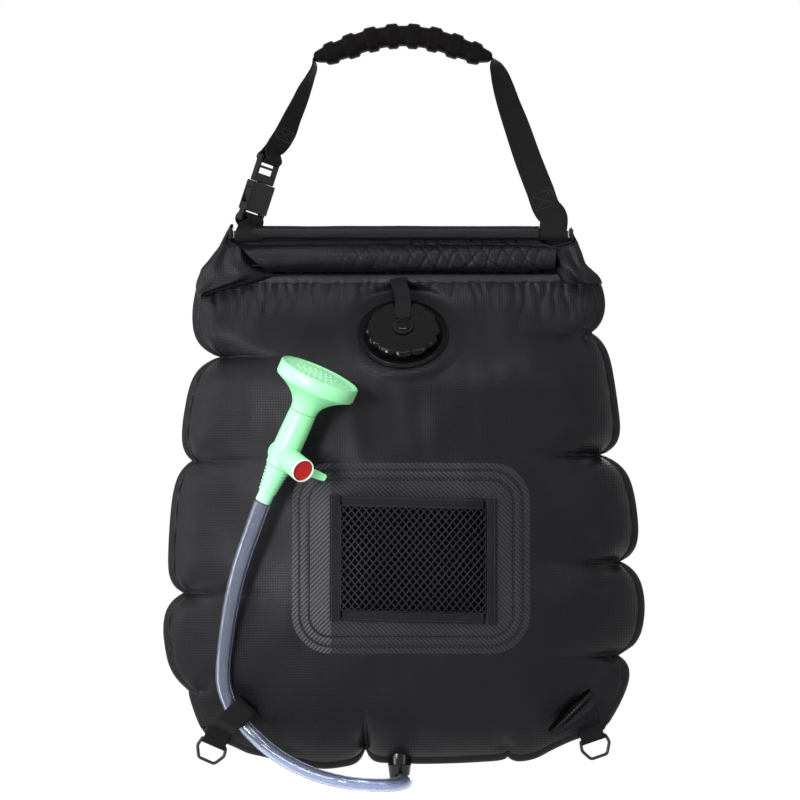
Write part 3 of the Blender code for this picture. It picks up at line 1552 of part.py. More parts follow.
def make_spout():
    """The outlet: a barrel through the bottom seam, and a barb that turns to the front."""
    top = SPOUT_ABOVE
    low = -SPOUT_DROP
    under = top - SPOUT_FLANGE_THICKNESS
    profile = [(0.0, top), (SPOUT_FLANGE_RADIUS, top), (SPOUT_FLANGE_RADIUS, under)]
    profile += [(SPOUT_RADIUS, under), (SPOUT_TIP_RADIUS, low)]
    for turn in np.radians((30.0, 60.0, 90.0)):
        profile.append((SPOUT_TIP_RADIUS * math.cos(turn), low - SPOUT_TIP_RADIUS * math.sin(turn)))
    frame = Matrix.Translation(spout_centre())
    body = turned("outlet_spout", profile, plastic_black(), frame, 20)
    way = Vector((math.sin(OUTLET_TURN), -math.cos(OUTLET_TURN), 0.0))
    start = spout_centre() + Vector((0.0, 0.0, low))
    join(body, rod("spout_outlet", OUTLET_RADIUS, start, start + way * OUTLET_LENGTH, None, 20))
    above = spout_centre() + Vector((0.0, 0.0, top + OVERRUN))
    cut(body, rod("spout_bore", SPOUT_BORE, start, above, None, 12))
    past = start + way * (OUTLET_LENGTH + OVERRUN)
    cut(body, rod("outlet_bore", SPOUT_BORE - TOUCH, start - way * TOUCH, past, None, 12))


def make_hose():
    points = curve_through(HOSE_ROUTE, HOSE_STEPS)
    wire("hose", points, HOSE_DIAMETER / 2, hose_clear(), HOSE_BEVEL_RESOLUTION)


# Shower head


def head_frame():
    """The head's frame: origin where the valve barrel crosses the stem."""
    axis = Vector(HEAD_AXIS).normalized()
    return facing(axis, Vector(HEAD_TAIL) + axis * TAIL_TO_BARREL, BARREL_AXIS)


def barrel_frame():
    """The valve's frame: +Z along the barrel to the button."""
    frame = head_frame()
    return facing(frame.col[0].to_3d(), frame.translation, frame.col[2].to_3d())


def make_head_funnel():
    """The flared shell from the neck to the rim that holds the rose."""
    top, wall = BARREL_TO_FACE, HEAD_WALL
    neck, rim_floor = BARREL_TO_FACE - NECK_DOWN, BARREL_TO_FACE - RIM_HEIGHT
    flare = []
    for share in (0.25, 0.5, 0.75):
        grow = share**2.2
        radius = STEM_RADIUS + (ROSE_RADIUS - STEM_RADIUS) * grow
        flare.append((radius, neck + (rim_floor - neck) * share))
    outside = [(ROSE_RADIUS - wall, top), (ROSE_RADIUS, top), (ROSE_RADIUS, rim_floor)]
    outside += [*flare[::-1], (STEM_RADIUS, neck)]
    inside = [(STEM_BORE, neck), (STEM_BORE + wall, neck + wall)]
    inside += [(radius - wall, height + wall) for radius, height in flare]
    inside += [(ROSE_RADIUS - wall, rim_floor + wall)]
    turned("head_funnel", outside + inside, plastic_mint(), head_frame(), closed=True)


def make_rose():
    """The perforated plate, set just inside the rim."""
    high = BARREL_TO_FACE - ROSE_RECESS
    low = high - ROSE_THICKNESS
    radius = ROSE_RADIUS - HEAD_WALL - TOUCH
    frame = head_frame()
    profile = [(0.0, high), (radius, high), (radius, low), (0.0, low)]
    plate = turned("rose_plate", profile, plastic_mint(), frame)
    for ring, (share, count) in enumerate(ROSE_HOLE_RINGS):
        for k in range(count):
            turn = 2 * math.pi * k / count
            at = Vector((math.cos(turn), math.sin(turn), 0.0)) * radius * share
            start = frame @ (at + Vector((0.0, 0.0, low - OVERRUN)))
            end = frame @ (at + Vector((0.0, 0.0, high + OVERRUN)))
            cut(plate, rod(f"rose_hole_{ring}_{k}", ROSE_HOLE_RADIUS, start, end, None, 6))


def make_valve_body():
    """The stem and the valve barrel across it, in one moulding, with its thumb tab."""
    frame, barrel = head_frame(), barrel_frame()
    top = BARREL_TO_FACE - NECK_DOWN - TOUCH
    low = -TAIL_TO_BARREL + COUPLING_LENGTH + TOUCH
    profile = [(0.0, top), (STEM_RADIUS, top), (STEM_RADIUS, low), (0.0, low)]
    body = turned("valve_body", profile, plastic_mint(), frame)
    across = [(0.0, BARREL_FRONT), (BARREL_RADIUS, BARREL_FRONT)]
    across += [(BARREL_RADIUS, -BARREL_BACK), (0.0, -BARREL_BACK)]
    join(body, turned("valve_barrel", across, None, barrel))
    tab_low = (-TAB_WIDTH / 2, BARREL_BORE + TOUCH, BARREL_FRONT - TAB_BACK - TAB_THICKNESS)
    tab_high = (TAB_WIDTH / 2, BARREL_RADIUS + TAB_LENGTH, BARREL_FRONT - TAB_BACK)
    tab_turn = barrel @ Matrix.Rotation(TAB_TURN, 4, "Z")
    join(body, block("valve_tab", tab_low, tab_high, None, tab_turn))
    bore = [(0.0, BARREL_FRONT + OVERRUN), (BARREL_BORE, BARREL_FRONT + OVERRUN)]
    bore += [(BARREL_BORE, HEAD_WALL - BARREL_BACK), (0.0, HEAD_WALL - BARREL_BACK)]
    cut(body, turned("barrel_bore", bore, None, barrel))
    start = frame @ Vector((0.0, 0.0, low - OVERRUN))
    end = frame @ Vector((0.0, 0.0, top + OVERRUN))
    cut(body, rod("stem_bore", STEM_BORE, start, end, None, 12))


def make_coupling():
    """The ribbed nut that clamps the hose to the stem."""
    top = -TAIL_TO_BARREL + COUPLING_LENGTH
    low = -TAIL_TO_BARREL
    ribbed = COUPLING_LENGTH * 0.72
    profile = [(STEM_BORE, top), (COUPLING_TOP_RADIUS, top)]
    for rib in range(COUPLING_RIBS):
        for step, lift in ((0.35, RIB_HEIGHT), (0.9, 0.0)):
            share = (rib + step) / COUPLING_RIBS
            fall = COUPLING_TOP_RADIUS - COUPLING_TIP_RADIUS - RIB_HEIGHT
            radius = COUPLING_TOP_RADIUS - fall * share
            profile.append((radius + lift, top - ribbed * share))
    profile += [(COUPLING_TIP_RADIUS, top - ribbed), (COUPLING_TIP_RADIUS, low), (STEM_BORE, low)]
    turned("hose_coupling", profile, plastic_mint(), head_frame(), 16, closed=True)


PLUNGER_FRONT = BARREL_FRONT - BUTTON_RECESS - BUTTON_HEIGHT - TOUCH


def make_plunger():
    """The sliding spool, its two seals, and the button on its end."""
    frame = barrel_frame()
    back = PLUNGER_FRONT - PLUNGER_LENGTH
    groove = PLUNGER_LENGTH * 0.14
    waist = PLUNGER_LENGTH * 0.30
    seat = PLUNGER_RADIUS - O_RING_WIRE

    def land(edge, way):
        inner = edge - way * groove
        depth = 2 * (O_RING_WIRE + TOUCH) * way
        floor = inner - depth
        return [(PLUNGER_RADIUS, inner), (seat, inner), (seat, floor), (PLUNGER_RADIUS, floor)]

    front = [(0.0, PLUNGER_FRONT), (PLUNGER_RADIUS, PLUNGER_FRONT), *land(PLUNGER_FRONT, 1)]
    middle = [(PLUNGER_RADIUS, PLUNGER_FRONT - waist)]
    middle += [(PLUNGER_WAIST, PLUNGER_FRONT - waist - O_RING_WIRE)]
    middle += [(PLUNGER_WAIST, back + waist + O_RING_WIRE), (PLUNGER_RADIUS, back + waist)]
    rear = [*land(back, -1)[::-1], (PLUNGER_RADIUS, back), (0.0, back)]
    turned("valve_plunger", front + middle + rear, rod_white(), frame, 16)
    for name, edge, way in (("o_ring_front", PLUNGER_FRONT, 1), ("o_ring_rear", back, -1)):
        height = edge - way * (groove + O_RING_WIRE + TOUCH)
        ring = []
        for k in range(6):
            turn = 2 * math.pi * k / 6
            major = seat + TOUCH + O_RING_WIRE
            ring.append((major + O_RING_WIRE * math.sin(turn), height + O_RING_WIRE * math.cos(turn)))
        turned(name, ring, rubber_black(), frame, 16, closed=True)
    low = PLUNGER_FRONT + TOUCH
    face = low + BUTTON_HEIGHT
    radius = BARREL_BORE - RUNNING
    button = [(0.0, face), (radius - BUTTON_RECESS, face), (radius, face - BUTTON_RECESS)]
    button += [(radius, low), (0.0, low)]
    turned("valve_button", button, plastic_red(), frame, 24)


def make_head():
    make_head_funnel()
    make_rose()
    make_valve_body()
    make_coupling()
    make_plunger()


def make_top():
    """The bag's top, in line with the handle: it hangs a little in front of the rest."""
    make_rolled_top()
    make_stiffener()
    make_shoulders()


def make_bag():
    make_panels()
    make_bands()
    make_filler()
    make_patch()
    make_tapes()
    make_net()
    make_d_rings()
    make_corner_straps()
    make_spout()
    make_hose()
    make_head()


def hang(pieces):
    """Parents the bag's pieces to an empty on the rod's axis, which the bag swings about."""
    pivot = keep("bag_pivot", None, None)
    pivot.location.z = -HANDLE_DROP
    for obj in pieces:
        obj.parent = pivot
        obj.matrix_parent_inverse = Matrix.Translation((0.0, 0.0, HANDLE_DROP))


def main():
    clear_scene()
    make_handle()
    held = set(bpy.data.objects)
    make_top()
    in_line = set(bpy.data.objects)
    make_bag()
    for obj in set(bpy.data.objects) - in_line:
        obj.location.y += BAG_SETBACK
    hang(set(bpy.data.objects) - held)


main()
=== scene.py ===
"""Looks for the hanging camp shower bag: coated fabric, webbing, hose and shower head in a white studio.

Metres, +Z up, +X to the right, the bag's front facing -Y, with the origin at the hanging point.
"""

import math

import bmesh
import bpy
import numpy as np
from mathutils import Matrix, Vector


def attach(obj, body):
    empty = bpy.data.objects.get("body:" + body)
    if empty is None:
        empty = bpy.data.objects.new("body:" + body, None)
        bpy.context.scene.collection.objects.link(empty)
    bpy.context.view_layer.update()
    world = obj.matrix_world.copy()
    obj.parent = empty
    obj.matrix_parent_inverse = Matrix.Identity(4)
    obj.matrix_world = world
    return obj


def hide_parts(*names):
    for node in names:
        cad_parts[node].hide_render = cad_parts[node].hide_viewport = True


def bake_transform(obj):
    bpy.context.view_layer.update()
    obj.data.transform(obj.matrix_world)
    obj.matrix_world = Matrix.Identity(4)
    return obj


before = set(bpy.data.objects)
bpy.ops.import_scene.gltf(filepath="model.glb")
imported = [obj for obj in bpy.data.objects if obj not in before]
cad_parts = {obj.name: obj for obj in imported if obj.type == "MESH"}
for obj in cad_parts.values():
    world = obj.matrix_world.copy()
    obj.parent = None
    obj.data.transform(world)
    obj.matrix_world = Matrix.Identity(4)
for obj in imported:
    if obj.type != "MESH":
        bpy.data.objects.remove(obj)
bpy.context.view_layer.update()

# The camera and the photograph's scale
FRAME_PIXELS = 800
PIXEL = 0.0009
MIDDLE_PX = 403.0
HANG_PX = 49.0
CAMERA_DISTANCE = 10.0
SENSOR = 0.036

# Sizes shared with the frame, and two directions
TOUCH = 0.0003
HANDLE_DROP = 0.167
BAG_SETBACK = 0.014
WEBBING_WIDTH = 0.025
WEBBING_THICKNESS = 0.0014
FABRIC = 0.0010
SOFT_FABRIC = 0.0008
SIDEWAYS = Vector((1.0, 0.0, 0.0))
DEPTHWISE = Vector((0.0, 1.0, 0.0))


def at_px(px, py):
    """World X and Z of a pixel of the photograph."""
    return (px - MIDDLE_PX) * PIXEL, (HANG_PX - py) * PIXEL


# Numbers


def smoothstep(share):
    share = np.clip(share, 0.0, 1.0)
    return share * share * (3.0 - 2.0 * share)


def unit(vectors):
    return vectors / np.linalg.norm(vectors, axis=-1, keepdims=True)


def full_turn(count):
    """Angles once round, without the last one, which would repeat the first."""
    return np.linspace(0.0, 2 * np.pi, count, endpoint=False)


def dent(away, width):
    """1 in the middle of a soft round dent or ridge, and next to nothing beyond its width."""
    return np.exp(-((away / width) ** 2))


def through(table, at):
    """A smooth curve through the table's (place, value) rows, read at the given places."""
    places, values = np.array(table, float).T
    slopes = np.gradient(values, places)
    index = np.clip(np.searchsorted(places, at, side="right") - 1, 0, len(places) - 2)
    span = places[index + 1] - places[index]
    u = np.clip((at - places[index]) / span, 0.0, 1.0)
    first = (1 + 2 * u) * (1 - u) ** 2 * values[index] + u * (1 - u) ** 2 * span * slopes[index]
    second = u * u * (3 - 2 * u) * values[index + 1] + u * u * (u - 1) * span * slopes[index + 1]
    return first + second


def run_along(line):
    """How far along a line of points each of them lies."""
    return np.concatenate([[0.0], np.cumsum(np.linalg.norm(np.diff(line, axis=0), axis=1))])


def smooth_through(places, points, at):
    """A smooth curve through points that lie at the given places, read at others."""
    columns = np.asarray(points, float).T
    return np.stack([through(list(zip(places, column)), at) for column in columns], axis=1)


def even_line(points, count):
    """Even steps along straight runs between points."""
    points = np.array(points, float)
    run = run_along(points)
    even = np.linspace(0.0, run[-1], count)
    return np.stack([np.interp(even, run, column) for column in points.T], axis=1)


def curve_through(points, count, finer=8):
    """Evenly spaced points on a smooth curve through given ones."""
    chord = run_along(np.array(points, float))
    return even_line(smooth_through(chord, points, np.linspace(0.0, chord[-1], count * finer)), count)


def waves(x, z, count, size, seed):
    """Smooth seeded wrinkles between about -1 and 1, as a sum of waves near one size."""
    draw = np.random.default_rng(seed)
    total = np.zeros_like(np.asarray(x, float))
    for _ in range(count):
        turn = draw.uniform(0.0, math.pi)
        length = size * draw.uniform(0.6, 1.8)
        phase = draw.uniform(0.0, 2 * math.pi)
        total = total + np.sin((x * math.cos(turn) + z * math.sin(turn)) * 2 * math.pi / length + phase)
    return total / math.sqrt(count)


# Meshes


def place(obj, body, slot, *replaced):
    """Makes a finished piece ride on its body and stand for its solids."""
    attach(obj, body)
    if replaced:
        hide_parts(*replaced)
    return obj


def mesh_piece(name, points, faces, look, spots=None):
    """A smooth mesh object; spots are the points' places in the cloth, in metres."""
    mesh = bpy.data.meshes.new(name)
    mesh.from_pydata([tuple(map(float, p)) for p in points], [], faces)
    if spots is not None:
        layer = mesh.uv_layers.new(name="cloth")
        index = np.zeros(len(mesh.loops), int)
        mesh.loops.foreach_get("vertex_index", index)
        layer.uv.foreach_set("vector", np.asarray(spots, np.float32)[index].ravel())
    mesh.update()
    mesh.shade_smooth()
    obj = bpy.data.objects.new(name, mesh)
    bpy.context.scene.collection.objects.link(obj)
    mesh.materials.append(look)
    return obj


def clean(obj, distance=0.0):
    """Turns the faces outward, after merging points that are closer than the distance."""
    shape = bmesh.new()
    shape.from_mesh(obj.data)
    if distance:
        bmesh.ops.remove_doubles(shape, verts=shape.verts, dist=distance)
        bmesh.ops.dissolve_degenerate(shape, edges=shape.edges, dist=distance)
    bmesh.ops.recalc_face_normals(shape, faces=shape.faces)
    shape.to_mesh(obj.data)
    shape.free()
    return obj


def grid_faces(rows, columns, flipped=False, ring=False):
    faces = []
    for row in range(rows - 1):
        for column in range(columns if ring else columns - 1):
            here, after = row * columns + column, row * columns + (column + 1) % columns
            quad = (here, after, after + columns, here + columns)
            faces.append(quad[::-1] if flipped else quad)
    return faces


def tube_faces(rows, sides, flipped=True):
    """The faces of a tube with flat ends."""
    last = (rows - 1) * sides
    ends = [tuple(range(sides)), tuple(range(last, last + sides))[::-1]]
    return grid_faces(rows, sides, flipped, ring=True) + ends


def joining_faces(last, sides):
    """Faces from the ring of points that starts at last back to the first ring."""
    return [(last + k, last + (k + 1) % sides, (k + 1) % sides, k) for k in range(sides)]


def sheet_piece(name, grid, look, thickness, offset, flipped=False, flat_spots=False):
    """A sheet from a grid of points, made thick; its cloth places follow it, or are its own x and z."""
    rows, columns = grid.shape[:2]
    across, down = run_along(grid[rows // 2]), run_along(grid[:, columns // 2])
    spots = grid[..., (0, 2)] if flat_spots else np.stack(np.meshgrid(across, -down), axis=-1)
    faces = grid_faces(rows, columns, not flipped)
    obj = mesh_piece(name, grid.reshape(-1, 3), faces, look, spots.reshape(-1, 2))
    shell = obj.modifiers.new("thickness", "SOLIDIFY")
    shell.thickness = thickness
    shell.offset = offset
    return obj


def level_row(xs, y, z):
    """A row of points at one height, and at one depth or at each x's own."""
    return np.stack(np.broadcast_arrays(xs, y, z), axis=-1)


def fillet(points, radius, steps=4):
    """The outline with each inner corner rounded off."""
    knots = [np.array(p, float) for p in points]
    made = [knots[0]]
    for before, corner, after in zip(knots, knots[1:], knots[2:]):
        back, ahead = before - corner, after - corner
        reach = min(radius, 0.45 * np.linalg.norm(back), 0.45 * np.linalg.norm(ahead))
        start, end = corner + unit(back) * reach, corner + unit(ahead) * reach
        for u in np.linspace(0.0, 1.0, steps + 1):
            made.append(start * (1 - u) ** 2 + corner * 2 * u * (1 - u) + end * u * u)
    made.append(knots[-1])
    return made


MERGED = 0.000001


def lathe(name, profile, look, where, ride, steps=96, closed=False, grow=None, sharp=50.0):
    """A (radius, height) profile turned about a frame's Z; ride is its body, slot and node."""
    profile = [(float(r), float(z)) for r, z in profile]
    if closed:
        profile = profile + [profile[0]]
    turns = full_turn(steps)
    widest = max(r for r, _ in profile)
    points, spots = [], []
    for (radius, height), run in zip(profile, run_along(profile)):
        wide = np.full(steps, radius) if grow is None else grow(turns, radius, height)
        points += [where @ Vector((w * math.cos(t), w * math.sin(t), height)) for w, t in zip(wide, turns)]
        spots += [(t * widest, run) for t in turns]
    obj = mesh_piece(name, points, grid_faces(len(profile), steps, ring=True), look, spots)
    return place(sharpen(clean(obj, MERGED), sharp), *ride)


def sharpen(obj, degrees):
    obj.data.set_sharp_from_angle(angle=math.radians(degrees))
    return obj


def sweep(name, path, sides, sections, look):
    """A closed section of (across, up) points drawn along a path; sides point across."""
    path, sides = np.asarray(path, float), np.asarray(sides, float)
    ahead = unit(np.gradient(path, axis=0))
    sides = unit(sides - ahead * np.sum(sides * ahead, axis=1)[:, None])
    ups = np.cross(sides, ahead)
    run = run_along(path)
    points, spots = [], []
    for k, middle in enumerate(path):
        section = np.asarray(sections[k] if np.ndim(sections[0]) == 2 else sections, float)
        points.append(middle + section[:, :1] * sides[k] + section[:, 1:] * ups[k])
        spots.append(np.stack([section[:, 0], np.full(len(section), run[k])], axis=1))
    faces = tube_faces(len(path), len(points[0]))
    return clean(mesh_piece(name, np.concatenate(points), faces, look, np.concatenate(spots)))


def flat_section(width, thickness, columns=12):
    """The section of a strap: flat faces and round edges."""
    half, thick = width / 2, thickness / 2
    across = np.linspace(-half + thick, half - thick, columns)
    round_edge = np.radians((30, 60, 90, 120, 150))
    top = [(x, thick) for x in across]
    right = [(half - thick + thick * math.sin(a), thick * math.cos(a)) for a in round_edge]
    bottom = [(x, -thick) for x in across[::-1]]
    left = [(-x, -y) for x, y in right]
    return np.array(top + right + bottom + left)


def resampled(path, sides, count):
    """A strap's path and sides, smoothed and evenly spaced."""
    both = np.concatenate([np.asarray(path, float), np.asarray(sides, float)], axis=1)
    chord = run_along(both[:, :3])
    line = smooth_through(chord, both, np.linspace(0.0, chord[-1], count))
    return line[:, :3], line[:, 3:]


def strap(name, path, sides, look, count):
    line, across = resampled(path, sides, count)
    return sweep(name, line, across, flat_section(WEBBING_WIDTH, WEBBING_THICKNESS), look)


# A stitch's section: shares of its length, and its rise there in thread radii
STITCH_RISES = ((0.0, -0.6), (0.12, 0.3), (0.5, 1.0), (0.88, 0.3), (1.0, -0.6))
STITCH_SIDES = 6
STITCH_LIFT = 0.0001
SUNK_SHARE = 0.55
# Pitch, length and thread radius of each kind of stitch
PATCH_STITCH = (0.0032, 0.0022, 0.00028)
TAPE_STITCH = (0.0028, 0.0019, 0.00022)
STRAP_STITCH = (0.0026, 0.0018, 0.00026)


def stitches(name, line, normals, sizes):
    """A row of thread stitches along a line, each a small bent capsule lying on the surface."""
    pitch, length, radius = sizes
    line, normals = np.asarray(line, float), np.asarray(normals, float)
    run = run_along(line)
    shares = np.array([share for share, _ in STITCH_RISES])
    points, faces = [], []
    for start in np.arange(pitch / 2, run[-1] - length, pitch):
        spots = np.stack([np.interp(start + shares * length, run, column) for column in line.T], axis=1)
        normal = unit(np.array([np.interp(start, run, column) for column in normals.T]))
        side = np.cross(unit(spots[-1] - spots[0]), normal)
        base = len(points)
        for spot, (_, rise) in zip(spots, STITCH_RISES):
            wide = radius * (SUNK_SHARE if rise < 0 else 1.0)
            middle = spot + normal * (STITCH_LIFT + rise * radius)
            spokes = [side * math.cos(turn) + normal * math.sin(turn) for turn in full_turn(STITCH_SIDES)]
            points += [middle + spoke * wide for spoke in spokes]
        faces += [tuple(base + i for i in face) for face in tube_faces(len(shares), STITCH_SIDES)]
    return clean(mesh_piece(name, points, faces, THREAD_LOOK, np.zeros((len(points), 2))))


def framed(x, y, z, at):
    """A frame with the given axes at a point."""
    made = Matrix((x, y, z)).transposed().to_4x4()
    made.translation = Vector(at)
    return made


def facing(axis, at, across):
    """A frame at a point with +Z along the axis, and +X near the given direction."""
    z, hint = Vector(axis).normalized(), Vector(across)
    x = (hint - z * hint.dot(z)).normalized()
    return framed(x, z.cross(x), z, at)


# Materials


class Look:
    """A material with its nodes, built up by short calls."""

    def __init__(self, name, colour, roughness, metallic=0.0, specular=0.5):
        self.material = bpy.data.materials.new(name)
        self.material.use_nodes = True
        self.tree = self.material.node_tree
        self.shader = self.tree.nodes["Principled BSDF"]
        self.colour = colour
        self.height = None
        self.shader.inputs["Base Color"].default_value = (*colour, 1.0)
        self.shader.inputs["Roughness"].default_value = roughness
        self.shader.inputs["Metallic"].default_value = metallic
        self.shader.inputs["Specular IOR Level"].default_value = specular

    def add(self, kind, values=(), **settings):
        node = self.tree.nodes.new("ShaderNode" + kind)
        for key, value in settings.items():
            setattr(node, key, value)
        for key, value in values:
            self.put(node.inputs[key], value)
        return node

    def put(self, socket, value):
        """Links a node's output to the socket, or sets the socket to a plain value."""
        if isinstance(value, bpy.types.NodeSocket):
            self.tree.links.new(value, socket)
        else:
            socket.default_value = value

    def math(self, operation, a, b=0.0):
        return self.add("Math", ((0, a), (1, b)), operation=operation).outputs[0]

    def plus(self, a, b):
        return self.math("ADD", a, b)

    def less(self, a, b):
        return self.math("SUBTRACT", a, b)

    def times(self, a, b):
        return self.math("MULTIPLY", a, b)

    def held(self, value):
        """The value, held between 0 and 1."""
        return self.math("MINIMUM", self.math("MAXIMUM", value), 1.0)

    def cloth(self):
        """The piece's own places in its cloth, in metres, as (u, v) sockets."""
        spots = self.add("UVMap", uv_map="cloth").outputs[0]
        return self.add("SeparateXYZ", ((0, spots),)).outputs[:2]

    def ripple(self, along, pitch):
        return self.math("SINE", self.times(along, 2 * math.pi / pitch))

    def slants(self, pitch):
        """The cloth's (u, v) places, and ripples that lean both ways across it."""
        u, v = self.cloth()
        return u, v, self.ripple(self.plus(u, v), pitch), self.ripple(self.less(u, v), pitch)

    def noise(self, scale, detail=3.0):
        """Noise in object space between 0 and 1; scale is in waves a metre."""
        spots = self.add("TexCoord").outputs["Object"]
        values = (("Vector", spots), ("Scale", scale), ("Detail", detail), ("Roughness", NOISE_ROUGHNESS))
        return self.add("TexNoise", values).outputs[0]

    def between(self, share, low, high):
        """The share, from 0 to 1, turned into a value between low and high."""
        return self.add("MapRange", (("Value", share), ("To Min", low), ("To Max", high))).outputs[0]

    def tint(self, share, dark, light):
        """Colours the surface between two shades of its own colour."""
        first = (*[c * dark for c in self.colour], 1.0)
        second = (*[min(1.0, c * light) for c in self.colour], 1.0)
        mix = self.add("Mix", data_type="RGBA")
        for name, value in (("Factor", share), ("A", first), ("B", second)):
            self.put([s for s in mix.inputs if s.name == name and s.enabled][0], value)
        self.put(self.shader.inputs["Base Color"], [s for s in mix.outputs if s.enabled][0])

    def rough(self, share, low, high):
        self.put(self.shader.inputs["Roughness"], self.between(share, low, high))

    def bump(self, height, distance, strength=1.0):
        """Adds a layer of relief of the given height in metres."""
        values = [("Height", height), ("Distance", distance), ("Strength", strength)]
        if self.height is not None:
            values.append(("Normal", self.height))
        self.height = self.add("Bump", values).outputs[0]
        self.put(self.shader.inputs["Normal"], self.height)


NOISE_ROUGHNESS = 0.55
BLACK = (0.0054, 0.0052, 0.0070)
WEAVE_PITCH = 0.0046
PATCH_PITCH = 0.0042
TWILL_FOLD = 0.0031
TWILL_PITCH = 0.0016
RIB_PITCH = 0.0011


def fabric_look(name="coated_fabric", colour=BLACK, relief=0.00022):
    """Coated cloth: a fine diagonal weave with soft marks and a slight sheen."""
    look = Look(name, colour, 0.46, specular=0.115)
    _, _, first, second = look.slants(WEAVE_PITCH)
    weave = look.between(look.times(first, second), 0.0, 1.0)
    marks = look.noise(9.0, 4.0)
    look.tint(look.plus(look.times(weave, 0.45), look.times(marks, 0.55)), 0.55, 1.45)
    look.rough(look.noise(40.0), 0.34, 0.46)
    look.bump(weave, relief)
    look.bump(look.noise(260.0, 2.0), 0.00012, 0.6)
    look.bump(look.noise(35.0), 0.0009, 0.35)
    return look.material


def patch_look():
    """The patch's coarser basket weave, with painted shade behind the net, where it is plain, far darker and
    less glossy, and painted light on the column left of the pocket.
    """
    look = Look("patch_weave", (0.014, 0.014, 0.017), 0.46, specular=0.20)
    u, v, first, second = look.slants(PATCH_PITCH)
    left = look.held(look.times(look.less(LEFT_COLUMN, u), 500.0))
    main = look.plus(first, look.times(left, look.less(second, first)))
    crossed = look.times(look.times(first, second), 0.35)
    weave = look.plus(look.times(look.plus(main, crossed), 0.36), 0.5)
    clear = []
    for along, middle, half in ((u, POCKET_ACROSS, POCKET_WIDTH / 2), (v, POCKET_MIDDLE, POCKET_HEIGHT / 2)):
        away = look.math("ABSOLUTE", look.less(along, middle))
        clear.append(look.held(look.times(look.less(away, half - 0.006), 400.0)))
    outside = look.math("MAXIMUM", *clear)
    # painted light: left of the pocket the weave is tinted about 2.6 times brighter than the rest, as if lit
    # from the left
    painted_left_light = look.plus(look.times(left, 0.62), 0.38)
    # painted shade: behind the net, where outside is 0, the colour falls to 0.05 of the patch's own, and the
    # gloss is lowered there on the next line
    look.tint(look.times(look.times(weave, outside), painted_left_light), 0.05, 4.6)
    look.put(look.shader.inputs["Specular IOR Level"], look.between(outside, 0.02, 0.17))
    look.rough(look.noise(60.0), 0.34, 0.52)
    look.bump(look.times(weave, outside), 0.00065)
    look.bump(look.noise(300.0, 2.0), 0.0001, 0.5)
    return look.material


def webbing_look(name="webbing", colour=(0.0095, 0.0095, 0.0100)):
    """Woven webbing: ribs along it crossed by a tight herringbone."""
    look = Look(name, colour, 0.72, specular=0.06)
    u, v = look.cloth()
    fold = look.math("PINGPONG", u, TWILL_FOLD)
    twill = look.ripple(look.plus(look.times(fold, 1.4), v), TWILL_PITCH)
    both = look.plus(look.times(twill, 0.6), look.times(look.ripple(u, RIB_PITCH), 0.4))
    weave = look.between(both, 0.0, 1.0)
    look.tint(weave, 0.6, 1.5)
    look.rough(look.noise(80.0), 0.62, 0.85)
    look.bump(weave, 0.00022)
    look.bump(look.noise(600.0, 2.0), 0.00008, 0.6)
    return look.material


def grained_look(look, tint, gloss, *bumps):
    """Noise in a plain look's tone, gloss and relief: (scale, detail) and what each is used with."""
    look.tint(look.noise(*tint[:2]), *tint[2:])
    if gloss:
        look.rough(look.noise(*gloss[:2]), *gloss[2:])
    for bump in bumps:
        look.bump(look.noise(*bump[:2]), *bump[2:])
    return look.material


def plastic_look(name, colour, low=0.28, high=0.42, grain=0.00003, wear=1.12, shine=0.5, wave=0.2):
    """Moulded plastic with a fine grain and slight change of tone."""
    look = Look(name, colour, low, specular=shine)
    bumps = (1400.0, 2.0, grain, 0.8), (55.0, 2.0, 0.0002, wave)
    return grained_look(look, (22.0, 4.0, 0.94, wear), (120.0, 3.0, low, high), *bumps)


def rubber_look(name="grip_rubber", colour=(0.0024, 0.0020, 0.0019), shine=0.03):
    look = Look(name, colour, 0.50, specular=shine)
    return grained_look(look, (45.0, 4.0, 0.75, 1.5), (150.0, 3.0, 0.42, 0.62), (900.0, 2.0, 0.00008, 0.8))


def thread_look():
    look = Look("thread", (0.022, 0.022, 0.025), 0.6, specular=0.25)
    return grained_look(look, (900.0, 2.0, 0.7, 1.4), None, (2500.0, 1.0, 0.00005))


def steel_look():
    look = Look("ring_steel", (0.020, 0.020, 0.021), 0.34, metallic=0.6, specular=0.2)
    return grained_look(look, (300.0, 3.0, 0.7, 1.4), (500.0, 3.0, 0.26, 0.5), (1500.0, 2.0, 0.00003))


def hose_look():
    """Clear soft plastic, a little milky and blue, drawn along its length."""
    look = Look("clear_hose", (0.46, 0.51, 0.66), 0.10, specular=0.5)
    look.shader.inputs["Transmission Weight"].default_value = 0.95
    look.shader.inputs["IOR"].default_value = 1.46
    u, v = look.cloth()
    lines = look.add("CombineXYZ", ((0, look.times(u, 34.0)), (1, look.times(v, 9.0))))
    streaks = look.add("TexNoise", (("Vector", lines.outputs[0]), ("Scale", 1.0), ("Detail", 3.0))).outputs[0]
    look.tint(streaks, 0.70, 1.40)
    look.rough(look.noise(90.0, 2.0), 0.03, 0.09)
    look.bump(streaks, 0.00020, 0.6)
    return look.material


# The camera, the light and the pale studio

WORLD_GLOW = 0.19
FLOOR_LEVEL = -0.92
FLOOR_REACH = 8.0
FLOOR_GLOW = 0.90
LIGHT_AIM = (0.0, 0.0, -0.35)
# Name, place, width and height, and power of each lamp that is aimed at the bag's middle
LAMPS = (
    ("key", (-1.5, -2.5, -0.20), (0.7, 0.9), 76.0),
    ("upper", (-2.1, -1.6, 0.60), (1.0, 1.0), 34.0),
    ("fill", (2.3, -1.9, 0.7), (0.8, 1.4), 15.0),
    ("side", (-2.4, 0.1, 0.1), (0.5, 1.6), 18.0),
    ("back", (0.5, 3.0, 0.5), (1.4, 1.4), 34.0),
)
# The lamp over the roll, and its own aim
TOP_LAMP = ("top", (-0.1, -1.3, 1.5), (1.6, 0.4), 30.0)
TOP_AIM = (0.0, -0.05, -0.2)


